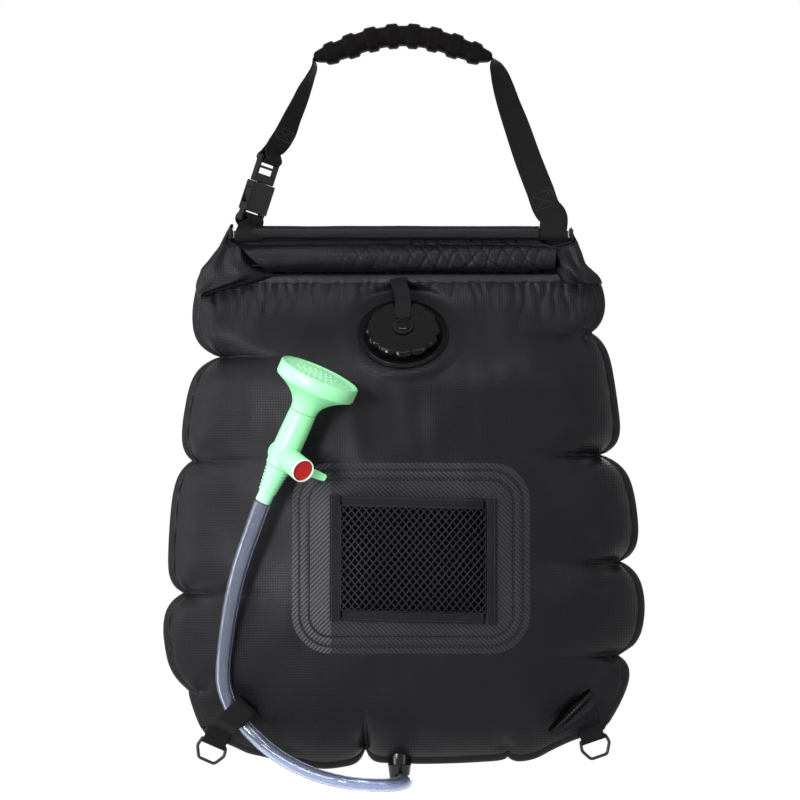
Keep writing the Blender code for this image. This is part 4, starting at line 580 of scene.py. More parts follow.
def make_camera():
    data = bpy.data.cameras.new("camera")
    data.sensor_width = SENSOR * 1000
    data.lens = SENSOR * 1000 * CAMERA_DISTANCE / (FRAME_PIXELS * PIXEL)
    camera = bpy.data.objects.new("camera", data)
    bpy.context.scene.collection.objects.link(camera)
    x, z = at_px(FRAME_PIXELS / 2, FRAME_PIXELS / 2)
    camera.location = (x, -CAMERA_DISTANCE, z)
    camera.rotation_euler = (math.radians(90.0), 0.0, 0.0)
    bpy.context.scene.camera = camera


def seen_directly(tree):
    """1 for the rays that show a surface, also in gloss and through clear plastic, and otherwise 0."""
    path = tree.nodes.new("ShaderNodeLightPath")
    kinds = [path.outputs[name] for name in ("Is Camera Ray", "Is Glossy Ray", "Is Transmission Ray")]
    total = kinds[0]
    for kind in kinds[1:]:
        both = tree.nodes.new("ShaderNodeMath")
        both.operation = "MAXIMUM"
        tree.links.new(total, both.inputs[0])
        tree.links.new(kind, both.inputs[1])
        total = both.outputs[0]
    return total


def strength_between(tree, low, high, socket):
    level = tree.nodes.new("ShaderNodeMapRange")
    level.inputs["To Min"].default_value = low
    level.inputs["To Max"].default_value = high
    tree.links.new(seen_directly(tree), level.inputs["Value"])
    tree.links.new(level.outputs[0], socket)


def make_world():
    """White where it is seen, and softer as a light."""
    world = bpy.data.worlds.new("studio")
    bpy.context.scene.world = world
    world.use_nodes = True
    back = world.node_tree.nodes["Background"]
    back.inputs["Color"].default_value = (1.0, 1.0, 1.0, 1.0)
    strength_between(world.node_tree, WORLD_GLOW, 1.0, back.inputs["Strength"])


def make_light(name, at, aim, size, power):
    data = bpy.data.lights.new(name, "AREA")
    data.shape = "RECTANGLE"
    data.size, data.size_y = size
    data.energy = power
    lamp = bpy.data.objects.new(name, data)
    bpy.context.scene.collection.objects.link(lamp)
    lamp.location = at
    lamp.rotation_euler = (Vector(aim) - Vector(at)).to_track_quat("-Z", "Y").to_euler()


def make_lights():
    for name, at, size, power in LAMPS:
        make_light(name, at, LIGHT_AIM, size, power)
    name, at, size, power = TOP_LAMP
    make_light(name, at, TOP_AIM, size, power)


def make_floor():
    """A plain pale floor under the hanging bag, which keeps its shadow."""
    look = Look("pale_floor", (0.50, 0.50, 0.50), 0.8)
    look.tint(look.noise(1.5, 2.0), 0.99, 1.01)
    look.shader.inputs["Emission Color"].default_value = (1.0, 1.0, 1.0, 1.0)
    strength_between(look.tree, 0.0, FLOOR_GLOW, look.shader.inputs["Emission Strength"])
    ways = ((-1, -1), (1, -1), (1, 1), (-1, 1))
    corners = [(FLOOR_REACH * x, FLOOR_REACH * y, FLOOR_LEVEL) for x, y in ways]
    floor = mesh_piece("studio_floor", corners, [(0, 1, 2, 3)], look.material, np.zeros((4, 2)))


# The hose

HOSE_RADII = ((0.0, 0.0062), (0.30, 0.0061), (0.55, 0.0063), (0.78, 0.0069), (1.0, 0.0074))
HOSE_BORE_SHARE = 0.66
HOSE_STEPS = 260
HOSE_SIDES = 28
HOSE_FIRST_UP = (0.0, 0.3, 1.0)
HOSE_ROUTE = (
    (-0.0010, -0.0153, -0.6582), (0.0010, -0.0285, -0.6582), (0.0024, -0.0415, -0.6586),
    (0.0018, -0.0545, -0.6592), (-0.0018, -0.0665, -0.6598), (-0.0090, -0.0770, -0.6602),
    (-0.0198, -0.0848, -0.6602), (-0.0325, -0.0888, -0.6596), (-0.0462, -0.0885, -0.6583),
    (-0.0600, -0.0843, -0.6560), (-0.0732, -0.0775, -0.6528), (-0.0860, -0.0695, -0.6484),
    (-0.0982, -0.0610, -0.6430), (-0.1100, -0.0525, -0.6364), (-0.1215, -0.0450, -0.6284),
    (-0.1325, -0.0390, -0.6187), (-0.1432, -0.0352, -0.6078), (-0.1525, -0.0338, -0.5955),
    (-0.1585, -0.0345, -0.5825), (-0.1615, -0.0370, -0.5692), (-0.1617, -0.0410, -0.5556),
    (-0.1606, -0.0460, -0.5421), (-0.1588, -0.0515, -0.5285), (-0.1568, -0.0570, -0.5150),
    (-0.1545, -0.0622, -0.5015), (-0.1518, -0.0668, -0.4880), (-0.1486, -0.0708, -0.4745),
    (-0.1448, -0.0740, -0.4612), (-0.1405, -0.0768, -0.4480), (-0.1357, -0.0793, -0.4350),
    (-0.1308, -0.0813, -0.4210), (-0.1256, -0.0834, -0.4074),
)


def make_hose():
    """A clear tube with its bore, on the frame's own route."""
    route = [(x, y + BAG_SETBACK, z) for x, y, z in HOSE_ROUTE]
    line = curve_through(route, HOSE_STEPS)
    ahead = unit(np.gradient(line, axis=0))
    side = unit(np.cross(ahead, np.array(HOSE_FIRST_UP)))
    for k in range(1, len(line)):
        side[k] = unit(side[k - 1] - ahead[k] * np.dot(side[k - 1], ahead[k]))
    up = np.cross(side, ahead)
    shares = np.linspace(0.0, 1.0, len(line))
    outer = through(HOSE_RADII, shares)
    turns = full_turn(HOSE_SIDES)
    spokes = side[:, None] * np.cos(turns)[:, None] + up[:, None] * np.sin(turns)[:, None]
    wall, bore = (line[:, None] + spokes * (outer * share)[:, None, None] for share in (1.0, HOSE_BORE_SHARE))
    points = np.concatenate([wall, bore[::-1]])
    faces = grid_faces(len(points), HOSE_SIDES, ring=True)
    faces += joining_faces((len(points) - 1) * HOSE_SIDES, HOSE_SIDES)
    along = np.concatenate([shares, shares[::-1]])
    spots = np.stack(np.meshgrid(turns / (2 * math.pi), along), axis=-1).reshape(-1, 2)
    obj = clean(mesh_piece("hose_clear", points.reshape(-1, 3), faces, hose_look(), spots))
    place(obj, "bag", "clear_hose", "hose")


# The bag's skin: the same outline and fullness as the frame's panels

ROLL_HEIGHT = 0.027
ROLL_DROP = 0.0215
BAG_HALF_WIDTH = 0.215
PANEL_HEIGHT = 0.4455
FRONT_DEPTH = 0.072
BACK_DEPTH = 0.076
NECK_HALF_DEPTH = 0.009
SEAM_FLANGE = 0.006
SWELL_SHARE = 0.25
FULL_SHARE = 0.62
ROUNDNESS = 2.4
CROWN = 0.7
NOTCH_SPREAD_SHARE = 0.022
CREASE_SHARE = 0.2
LEFT_EDGE_SHARES = (
    (0.00, 0.850), (0.05, 0.874), (0.20, 0.893), (0.33, 0.932), (0.45, 0.966), (0.56, 0.983),
    (0.74, 1.001), (0.80, 0.975), (0.87, 0.893), (0.92, 0.843), (0.96, 0.790), (1.00, 0.700),
)
RIGHT_EDGE_SHARES = (
    (0.00, 0.812), (0.04, 0.842), (0.12, 0.858), (0.20, 0.880), (0.28, 0.905), (0.40, 0.955),
    (0.50, 0.985), (0.60, 1.004), (0.68, 1.013), (0.76, 0.994), (0.82, 0.955), (0.87, 0.907),
    (0.92, 0.845), (0.96, 0.790), (1.00, 0.720),
)
LEFT_NOTCH_SHARES = ((0.168, 0.126), (0.378, 0.068), (0.646, 0.085), (0.842, 0.032))
RIGHT_NOTCH_SHARES = ((0.119, 0.074), (0.366, 0.118), (0.582, 0.094), (0.772, 0.090))
BOTTOM_EDGE_SHARES = (
    (-1.00, 0.130), (-0.82, 0.068), (-0.71, 0.045), (-0.65, 0.032), (-0.59, 0.025), (-0.45, 0.010),
    (-0.33, 0.000), (-0.24, 0.004), (-0.08, 0.011), (0.09, 0.010), (0.25, 0.012), (0.39, 0.015),
    (0.49, 0.014), (0.56, 0.022), (0.62, 0.037), (0.70, 0.055), (0.83, 0.077), (1.00, 0.135),
)
BOTTOM_NOTCH_SHARES = ((-0.158, 0.036), (0.440, 0.011))
FILLER_DOWN = 0.258
FILLER_TILT = math.radians(42.0)
FLANGE_RADIUS = 0.041
FLAT_MARGIN = 0.012
FLAT_BLEND = 0.013

PANEL_TOP = -(HANDLE_DROP + ROLL_DROP + ROLL_HEIGHT / 2 + TOUCH)


def pinched(notches, at):
    """How deep the notches cut in at the given places, each a cusp that fades both ways."""
    depth = np.zeros_like(np.asarray(at, float))
    for at_share, deep in notches:
        depth = depth + deep * np.exp(-np.abs(at - at_share) / NOTCH_SPREAD_SHARE)
    return depth


def side_edges(z, pinch=1.0):
    """Distances from the middle to the dome's left and right edges at height z."""
    down = np.clip((PANEL_TOP - z) / PANEL_HEIGHT, 0.0, 1.0)
    left = through(LEFT_EDGE_SHARES, down) - pinch * pinched(LEFT_NOTCH_SHARES, down)
    right = through(RIGHT_EDGE_SHARES, down) - pinch * pinched(RIGHT_NOTCH_SHARES, down)
    return left * BAG_HALF_WIDTH - SEAM_FLANGE, right * BAG_HALF_WIDTH - SEAM_FLANGE


def bottom_edge(x, pinch=1.0):
    """Height of the outline's lower edge, rising to the corners and pinched at its notches."""
    across = x / BAG_HALF_WIDTH
    rise = through(BOTTOM_EDGE_SHARES, across) + pinch * pinched(BOTTOM_NOTCH_SHARES, across)
    return PANEL_TOP - PANEL_HEIGHT + rise * PANEL_HEIGHT


def dome_floor(x, pinch=1.0):
    return bottom_edge(x, pinch) + SEAM_FLANGE


def place_across(x, z, pinch):
    left, right = side_edges(z, pinch)
    return np.clip((x + left) / (left + right), 0.0, 1.0)


def place_down(x, z, pinch):
    return np.clip((PANEL_TOP - z) / (PANEL_TOP - dome_floor(x, pinch)), 0.0, 1.0)


def eased(creased, plain, near):
    """The creased value at the edge, turning into the plain one further in."""
    return creased + (plain - creased) * smoothstep(near / CREASE_SHARE)


def natural_fullness(x, z, depth):
    """How far a panel of the given depth stands out from the seam at (x, z)."""
    across, down = place_across(x, z, 1.0), place_down(x, z, 1.0)
    across = eased(across, place_across(x, z, 0.0), np.minimum(across, 1.0 - across))
    down = eased(down, place_down(x, z, 0.0), (1.0 - down) * 2.2)
    crown = (1.0 - np.abs(2.0 * across - 1.0) ** ROUNDNESS) ** CROWN
    swell = NECK_HALF_DEPTH + (depth - NECK_HALF_DEPTH) * smoothstep(down / SWELL_SHARE)
    base = np.clip((down - FULL_SHARE) / (1.0 - FULL_SHARE), 0.0, 1.0)
    return crown * swell * (1.0 - base**ROUNDNESS) ** CROWN


FILLER_DEPTH = float(natural_fullness(np.array(0.0), np.array(-FILLER_DOWN), FRONT_DEPTH))


def flange_weight(x, z):
    """1 where the filler's flange holds the skin flat, fading to 0 around it."""
    rise = (z + FILLER_DOWN) / math.cos(FILLER_TILT)
    away = np.sqrt(x**2 + rise**2)
    margin = FLAT_MARGIN * np.clip(rise / FLANGE_RADIUS, FLAT_MARGIN / FLANGE_RADIUS, 1.0)
    return 1.0 - smoothstep((away - FLANGE_RADIUS - margin) / FLAT_BLEND)


def front_fullness(x, z):
    """The front panel's fullness, laid flat and tilted where the filler's flange sits."""
    plain = natural_fullness(x, z, FRONT_DEPTH)
    flat = FILLER_DEPTH - math.tan(FILLER_TILT) * (z + FILLER_DOWN)
    return plain + (flat - plain) * flange_weight(x, z)


# Folds in the skin: (start px, start py, end px, end py, width mm, depth mm), from the seam inward;
# a negative depth stands proud

FOLDS = (
    (204, 358, 246, 351, 5.0, 4.2), (204, 362, 240, 377, 6.0, 2.0), (206, 345, 262, 322, 10.0, -1.6),
    (187, 460, 226, 455, 4.5, 3.4), (188, 466, 222, 482, 6.0, 1.8), (190, 446, 232, 432, 9.0, -1.4),
    (181, 590, 226, 582, 5.0, 3.8), (184, 596, 216, 618, 7.0, 2.0), (186, 572, 232, 556, 9.0, -1.4),
    (200, 690, 238, 672, 5.0, 2.8), (210, 716, 262, 690, 8.0, 2.0), (589, 335, 556, 342, 4.5, 3.6),
    (588, 342, 548, 366, 7.0, 2.0), (586, 322, 548, 312, 9.0, -1.2), (600, 455, 558, 470, 4.5, 4.2),
    (598, 448, 560, 440, 6.0, 2.2), (604, 436, 556, 420, 10.0, -1.6), (622, 563, 574, 560, 4.5, 4.0),
    (616, 570, 578, 592, 7.0, 2.2), (618, 548, 580, 528, 9.0, -1.4), (620, 657, 580, 646, 5.0, 3.2),
    (612, 666, 584, 690, 7.0, 1.6), (560, 690, 520, 716, 9.0, 1.6), (365, 748, 369, 722, 4.5, 3.6),
    (358, 744, 346, 714, 8.0, 1.2), (507, 752, 498, 712, 6.0, 2.4), (430, 748, 440, 700, 10.0, 1.2),
    (290, 752, 306, 700, 11.0, 1.4),
)
FOLD_BEND_SHARE = 0.12
FOLD_GAIN = 1.45


def beside(line, x, z):
    """How far (x, z) lies along the line between two pixels and off it, and the line's length."""
    (x0, z0), (x1, z1) = at_px(*line[:2]), at_px(*line[2:])
    length = math.hypot(x1 - x0, z1 - z0)
    run_x, run_z = (x1 - x0) / length, (z1 - z0) / length
    return (x - x0) * run_x + (z - z0) * run_z, (x - x0) * -run_z + (z - z0) * run_x, length


def fold_relief(x, z):
    """Folds that run in from the seam's notches, deepest at the seam."""
    total = np.zeros_like(x)
    for *line, width, depth in FOLDS:
        along, off, length = beside(line, x, z)
        share = np.clip(along / length, 0, 1)
        bend = FOLD_BEND_SHARE * length * np.sin(share * math.pi)
        fade = smoothstep((along + 0.006) / 0.012) * (1.0 - smoothstep(along / length))
        spread = width / 1000 * (1.35 - 0.85 * share)
        total -= FOLD_GAIN * depth / 1000 * fade * dent(off - bend, spread)
    return total


BROAD_WAVE = 0.085
BROAD_RELIEF = 0.0014
FINE_WAVE = 0.030
FINE_RELIEF = 0.00035
# The gathers' places from the left, and the least and greatest of each one's sizes
GATHER_START = -0.178
GATHER_LEAN = 0.18
GATHER_REACH = (0.020, 0.052)
GATHER_DEPTH = (0.0010, 0.0028)
GATHER_WIDTH = (0.0018, 0.0032)
GATHER_STEPS = (0.0085, 0.0098, 0.0074, 0.0112, 0.0081, 0.0094, 0.0121, 0.0078) * 5


def gather_relief(x, z):
    """The upright gathers below the weld band, longest at its ends."""
    down = PANEL_TOP - z
    draw = np.random.default_rng(7)
    total = np.zeros_like(x)
    for place_x in np.cumsum(GATHER_STEPS):
        at = GATHER_START + place_x
        lean = draw.uniform(-GATHER_LEAN, GATHER_LEAN)
        reach = draw.uniform(*GATHER_REACH) * (1.0 + 0.8 * min(1.0, abs(at) / 0.16))
        deep = draw.uniform(*GATHER_DEPTH)
        width = draw.uniform(*GATHER_WIDTH)
        off = x - at - lean * (down - 0.01) - 0.0016 * np.sin(down * 190 + place_x * 900)
        fade = smoothstep((down - 0.004) / 0.006) * (1.0 - smoothstep(down / reach))
        total -= deep * fade * dent(off, width)
    return total


# The slit above the right corner strap: its two ends in pixels
SLIT = (548, 732, 591, 689)
SLIT_HALF = 0.0040
SLIT_DEEP = 0.0055


def slit_relief(x, z):
    """The mouth of the fold that the right corner strap comes out of."""
    along, off, length = beside(SLIT, x, z)
    arch = np.sqrt(np.clip(np.sin(np.clip(along / length, 0, 1) * math.pi), 0, 1))
    return -SLIT_DEEP * arch * dent(off - 0.0018 * arch, SLIT_HALF)


def inward(x, z, pinch):
    across, down = place_across(x, z, pinch), place_down(x, z, pinch)
    return np.minimum(np.minimum(across, 1.0 - across) * 0.4, (1.0 - down) * 0.44)


def relief(side, x, z):
    """How far the folded skin stands off the plain one."""
    calm = smoothstep(inward(x, z, 0.0) / 0.030)
    total = waves(x, z, 14, BROAD_WAVE, 3 + side) * BROAD_RELIEF * calm
    total = total + waves(x, z * 0.6, 12, FINE_WAVE, 12 + side) * FINE_RELIEF * calm
    total = total + fold_relief(x, z) * smoothstep(inward(x, z, 1.0) / 0.008)
    total = total + gather_relief(x, z)
    if side < 0:
        total = (total + slit_relief(x, z)) * (1.0 - flange_weight(x, z))
    return total


def skin(side, x, z, lift=0.0):
    """The y of the bag's folded outer skin; side is -1 for the front, 1 for the back."""
    x, z = np.asarray(x, float), np.asarray(z, float)
    full = front_fullness(x, z) if side < 0 else natural_fullness(x, z, BACK_DEPTH)
    full = np.maximum(full + relief(side, x, z), 0.0)
    return side * (TOUCH / 2 + FABRIC + full + lift) + BAG_SETBACK


SETTLING_ROUNDS = 26


def panel_places(columns, rows):
    """(x, z) places over the dome, close together near its edges."""
    even = np.linspace(0.0, 1.0, columns)
    across = 0.72 * (0.5 - 0.5 * np.cos(np.pi * even)) + 0.28 * even
    even = np.linspace(0.0, 1.0, rows)
    downs = 0.55 * np.sin(even * np.pi / 2) + 0.45 * even
    xs, zs = [], []
    for down in downs:
        x = np.zeros(columns)
        for _ in range(SETTLING_ROUNDS):
            z = PANEL_TOP + (dome_floor(x) - PANEL_TOP) * down
            left, right = side_edges(z)
            x = 0.5 * x + 0.5 * ((left + right) * across - left)
        xs.append(x)
        zs.append(z)
    return np.array(xs), np.array(zs)


FLANGE_BEND = 0.0042
FLANGE_WAVE = 0.0006
FLANGE_SHARES = (0.08, 0.33, 0.66, 1.0)
PANEL_COLUMNS = 250
PANEL_ROWS = 270


def make_panel(name, side, node):
    """One panel: the full dome with its folds, and the flat welded flange round it."""
    xs, zs = panel_places(PANEL_COLUMNS, PANEL_ROWS)
    flat = side * (TOUCH / 2 + FABRIC) + BAG_SETBACK
    grid = np.stack([xs, skin(side, xs, zs), zs], axis=-1)
    lefts, rights = [], []
    for share in FLANGE_SHARES[::-1]:
        for edge, way, edges in ((grid[:, 0].copy(), -1, lefts), (grid[:, -1].copy(), 1, rights)):
            edge[:, 0] += way * SEAM_FLANGE * share
            edge[:, 1] = flat + FLANGE_BEND * share**1.5 + FLANGE_WAVE * share * np.sin(edge[:, 2] * 260)
            edges.append(edge)
    grid = np.concatenate([np.stack(lefts, axis=1), grid, np.stack(rights[::-1], axis=1)], axis=1)
    last = grid[-1]
    inner = np.clip(last[:, 0], last[len(lefts), 0], last[-1 - len(rights), 0])
    past = np.abs(last[:, 0] - inner) / SEAM_FLANGE
    rounded = np.sqrt(np.clip(1.0 - past**2, 0.0, 1.0))
    below = []
    for share in FLANGE_SHARES:
        x = inner + (last[:, 0] - inner) * (1.0 - 0.35 * share)
        z = last[:, 2] + (bottom_edge(inner) - last[:, 2]) * share * rounded
        below.append(level_row(x, flat + FLANGE_BEND * share**1.5, z))
    grid = np.concatenate([grid, np.stack(below)], axis=0)
    obj = sheet_piece(name, grid, FABRIC_LOOK, FABRIC, -1.0, flipped=side < 0, flat_spots=True)
    place(obj, "bag", "bag_sheet", node)


# The rolled top: the hem round the rod, the roll, the neck behind it and the folded shoulders

ROD_RADIUS = 0.0035
HEM_TOP = 0.0074
HEM_BOTTOM = 0.0048
HEM_DEPTH = 0.0058
HEM_LEFT = 0.1395
HEM_RIGHT = 0.1225
# The hem's way round the rod, in degrees, and its steps
HEM_WAY = (94.0, 446.0, 44)
ROLL_LEFT = 0.1450
ROLL_RIGHT = 0.1385
ROLL_TURNS = 1.85
ROLL_COLUMNS = 260
ROLL_STEPS = 230
ROLL_START = 92.0
ROLL_SAG = 0.0005
ROLL_RADIUS = 0.0130
ROLL_SLIM_RIGHT = 0.0030
ROLL_SLIM_LEFT = 0.0012
ROLL_WOUND_IN = 0.0068
GATHER_ACROSS = 0.0125
GATHER_BACK = 0.0150
CREASE_DEPTH = 0.00125
# (y, z) of the cloth from the hem down to the roll, and of the neck's top rows
HEM_TO_ROLL = ((-0.0056, -0.1676), (-0.0047, -0.1684), (-0.0030, -0.1706), (-0.0008, -0.1738))
NECK_TOP_ROWS = ((0.0094, -0.1697), (0.0099, -0.1745), (0.0105, -0.1800), (0.0112, -0.1838))
NECK_COLUMNS = 200
NECK_STEPS = 26
NECK_LEFT = 0.1535
NECK_RIGHT = 0.1530
NECK_FRONT = 0.0118
NECK_BACK = 0.0242
NECK_LEVEL = -0.1868
NECK_FALL = 0.0168
BAND_LEFT = 0.1425
BAND_RIGHT = 0.1440
BAND_DROP = 0.0046
BAND_HALF = 0.0042
BAND_COLUMNS = 240
BAND_ROWS = 9
BAND_ROUNDING = 0.006
BAND_THICKNESS = 0.0009


def roll_radius(x):
    """The roll's outer radius along its length, slimmer toward both ends."""
    right, left = smoothstep((x - 0.098) / 0.045), smoothstep((-0.118 - x) / 0.03)
    return ROLL_RADIUS - ROLL_SLIM_RIGHT * right - ROLL_SLIM_LEFT * left


def roll_relief(x, turn):
    """Slanted gathers that cross into diamonds on the right half, over long soft ripples."""
    share = smoothstep((x + 0.085) / 0.05) * (1.0 - smoothstep((x - 0.108) / 0.03))
    share = share * (0.45 + 0.55 * smoothstep((x + 0.01) / 0.03))
    drift = 0.9 * np.sin(x * 61.0) + 0.6 * np.sin(x * 143.0 + 1.0)
    first = np.sin(math.pi * (x / GATHER_ACROSS) + turn * 1.25 + drift)
    second = np.sin(math.pi * (x / GATHER_BACK) - turn * 1.45 - drift * 0.7)
    creases = dent(first, 0.27) + 0.85 * dent(second, 0.24)
    ripple = 0.0003 * np.sin(turn * 5.0 + x * 30.0) + 0.00025 * waves(x, turn * 0.012, 10, 0.020, 31)
    return ripple - CREASE_DEPTH * share * creases


def make_roll():
    """One sheet: round the rod as the hem, then wound into the roll, with the stitched gathers."""
    span = np.linspace(-HEM_LEFT, HEM_RIGHT, ROLL_COLUMNS)
    grid = []
    for turn in np.radians(np.linspace(*HEM_WAY)):
        swell = 0.00035 * waves(span, np.full(ROLL_COLUMNS, turn * 0.006), 8, 0.05, 5)
        high = HEM_TOP if math.cos(turn) > 0 else HEM_BOTTOM
        y = -(HEM_DEPTH + swell) * math.sin(turn)
        grid.append(level_row(span, y, -HANDLE_DROP + (high + swell) * math.cos(turn)))
    grid += [level_row(span, y, z) for y, z in HEM_TO_ROLL]
    for share in np.linspace(0.0, 1.0, ROLL_STEPS):
        turn = math.radians(ROLL_START + 360.0 * ROLL_TURNS * share)
        slant = 0.5 - 0.5 * math.sin(turn)
        left = -ROLL_LEFT + 0.021 * slant**1.5 * (1.0 if share < 0.75 else 0.0) + 0.012 * share
        span = np.linspace(left, ROLL_RIGHT - 0.008 * share, ROLL_COLUMNS)
        gathers = roll_relief(span, np.full(ROLL_COLUMNS, turn)) * (1.0 - 0.8 * share)
        radius = roll_radius(span) - ROLL_WOUND_IN * share + gathers
        z = -HANDLE_DROP - ROLL_DROP - ROLL_SAG + radius * math.sin(turn)
        grid.append(level_row(span, radius * math.cos(turn), z))
    obj = sheet_piece("roll_cloth", np.array(grid), FABRIC_LOOK, SOFT_FABRIC, 0.0, flipped=True)
    place(obj, "bag", "rolled_sheet", "rolled_top")


def make_neck():
    """The gathered neck behind the roll, down to the back panel's top edge."""
    span = np.linspace(-NECK_LEFT, NECK_RIGHT, NECK_COLUMNS)
    ends = smoothstep((0.150 - np.abs(span)) / 0.02)
    rows = [level_row(span, y, z) for y, z in NECK_TOP_ROWS]
    for share in np.linspace(0.0, 1.0, NECK_STEPS):
        back = smoothstep(share * 0.9 + 0.1) * (0.35 + 0.65 * ends)
        y = NECK_FRONT + (NECK_BACK - NECK_FRONT) * back
        z = NECK_LEVEL - NECK_FALL * share + 0.0018 * math.sin(share * math.pi)
        fold = 0.0007 * np.sin(span * 620 + 2.0 * np.sin(span * 90)) * share
        rows.append(level_row(span, y + fold, z))
    obj = sheet_piece("neck_cloth", np.array(rows), FABRIC_LOOK, SOFT_FABRIC, 0.0, flipped=True)
    place(obj, "bag", "rolled_sheet", "rolled_top")


# The folded shoulders: rows of (inner px x, outer px x, px y), from the top down
LEFT_SHOULDER_ROWS = (
    (233.5, 230.5, 224), (233.5, 225.5, 233), (234.5, 221, 242), (246, 218, 247.5), (250, 214, 252.5),
    (255, 207.5, 261), (266, 201.5, 268), (276, 199, 274.5), (262, 196.5, 281), (236, 195.5, 287),
    (214, 196.5, 292), (204, 198, 297),
)
RIGHT_SHOULDER_ROWS = (
    (570.5, 572, 227), (570.5, 574, 234), (570, 578, 241.5), (543, 580, 247), (546, 582.5, 253),
    (553, 586, 263), (556, 592, 269), (558, 598, 274.5), (560, 600.5, 278), (562, 602, 281),
    (566, 602.5, 283.5),
)
SHOULDER_STEPS = 60
SHOULDER_SIDES = 72
SHOULDER_SETBACK_SHARE = 0.55
SHOULDER_LEAST = 0.0056
SHOULDER_SWELL = 0.0052


def make_shoulder(name, table, node):
    """A folded flap of cloth: a soft lens between its inner and outer lines, with curved folds."""
    rows = smooth_through(np.linspace(0.0, 1.0, len(table)), table, np.linspace(0.0, 1.0, SHOULDER_STEPS))
    turns = full_turn(SHOULDER_SIDES)
    across = 0.5 - 0.5 * np.cos(turns)
    up, standing = np.sin(turns), np.abs(np.sin(turns))
    points = []
    for share, (px0, px1, py) in zip(np.linspace(0.0, 1.0, len(rows)), rows):
        (x0, z), (x1, _) = at_px(px0, py), at_px(px1, py)
        full = smoothstep(share * 1.6 - 0.1) * (1.0 - 0.25 * smoothstep((share - 0.75) / 0.25))
        bulge = np.sign(up) * standing**0.55 * (SHOULDER_LEAST + SHOULDER_SWELL * full)
        crease = 0.0017 * np.sin(9.0 * across - 5.0 * share + 1.0) * standing
        crease = crease + 0.0005 * np.sin(21.0 * across + 7.0 * share) * standing
        y = BAG_SETBACK * SHOULDER_SETBACK_SHARE - bulge - crease
        points.append(level_row(x0 + (x1 - x0) * across, y, z))
    points = np.concatenate(points)
    obj = mesh_piece(name, points, tube_faces(len(rows), len(turns), False), FABRIC_LOOK, points[:, (0, 2)])
    place(clean(obj), "bag", "rolled_sheet", node)


def make_band(name, side, node):
    """The welded band under the roll, lying on the gathered skin."""
    span = np.linspace(-BAND_LEFT, BAND_RIGHT, BAND_COLUMNS)
    near = np.minimum(span + BAND_LEFT, BAND_RIGHT - span)
    round_end = np.sqrt(np.clip(1 - (1 - np.clip(near / BAND_ROUNDING, 0, 1)) ** 2, 0, 1))
    half = BAND_HALF * (0.12 + 0.88 * round_end) * (1 - 0.25 * smoothstep((-0.10 - span) / 0.04))
    grid = []
    for share in np.linspace(0.0, 1.0, BAND_ROWS):
        z = PANEL_TOP - BAND_DROP + 0.0008 * (span / 0.14) + half * (1 - 2 * share)
        z = z + 0.00035 * np.sin(span * 410 + share) * (0.4 + 0.6 * share)
        z = np.minimum(z, PANEL_TOP - TOUCH)
        crown = 0.0010 + 0.0016 * math.sin(math.pi * share) ** 0.6
        grid.append(level_row(span, skin(side, span, z, crown), z))
    obj = sheet_piece(name, np.array(grid), BAND_LOOK, BAND_THICKNESS, 1.0, flipped=side < 0)
    place(obj, "bag", "bag_sheet", node)


# The handle: grip, webbing and the buckle's frame

PLY_GAP = 0.0004
RUNNING = 0.0004
OVERRUN = 0.004
RIGHT_LOOP_REACH = 0.135
LEFT_LOOP_REACH = 0.1385
LOOP_LEG = 0.012
HANDLE_STRAP_STEPS = 760
BUCKLE_STRAP_STEPS = 220
STITCH_BOX_INSET = 0.0028
BAND_SLACK = 0.0014
BAND_TWIST_SHARES = ((0.3, 0.12), (0.5, 0.5), (0.7, 0.88))
GRIP_CHORD = 0.160
GRIP_HEIGHT = 0.0190
GRIP_DEPTH = 0.031
GRIP_END_SHARE = 0.44
GRIP_STEPS = 13
GRIP_STEP = 0.02
GRIP_SIDES = 64
GRIP_RINGS = 330
GRIP_LIP = 0.0012
GRIP_SEAM = 0.00025
LUG_HEIGHT = 0.0022
LUG_COUNT = 8
LUG_WIDTH_SHARE = 0.46
GRIP_DROP_SHARES = (
    (-1.0, 0.244), (-0.8, 0.192), (-0.6, 0.121), (-0.4, 0.054), (-0.2, 0.014), (0.0, 0.000),
    (0.2, 0.014), (0.4, 0.054), (0.6, 0.121), (0.8, 0.192), (1.0, 0.244),
)
LEFT_STRAP_SHARES = (
    (-0.477, 0.092, 0.90), (-0.501, 0.156, 0.81), (-0.531, 0.221, 0.70), (-0.558, 0.286, 0.64),
    (-0.598, 0.372, 0.56), (-0.636, 0.458, 0.47), (-0.677, 0.520, 0.50),
)
RIGHT_STRAP_SHARES = (
    (0.496, 0.081, 0.75), (0.515, 0.124, 0.60), (0.539, 0.199, 0.46), (0.566, 0.286, 0.38),
    (0.612, 0.415, 0.25), (0.671, 0.587, 0.15), (0.738, 0.760, 0.05), (0.781, 0.868, 0.00),
)
BUCKLE_ACROSS = -0.1292
BUCKLE_DOWN = 0.1265
BUCKLE_LEAN = math.radians(18.0)
BUCKLE_TURN = math.radians(55.0)
SOCKET_LENGTH = 0.037
SOCKET_ABOVE = 0.006
BAR_HEIGHT = 0.0044
BAR_THICKNESS = 0.006
PLUG_LENGTH = 0.0247
PLUG_BAR = SOCKET_ABOVE + TOUCH + PLUG_LENGTH - BAR_HEIGHT / 2
SOCKET_BAR = SOCKET_ABOVE - SOCKET_LENGTH + BAR_HEIGHT / 2


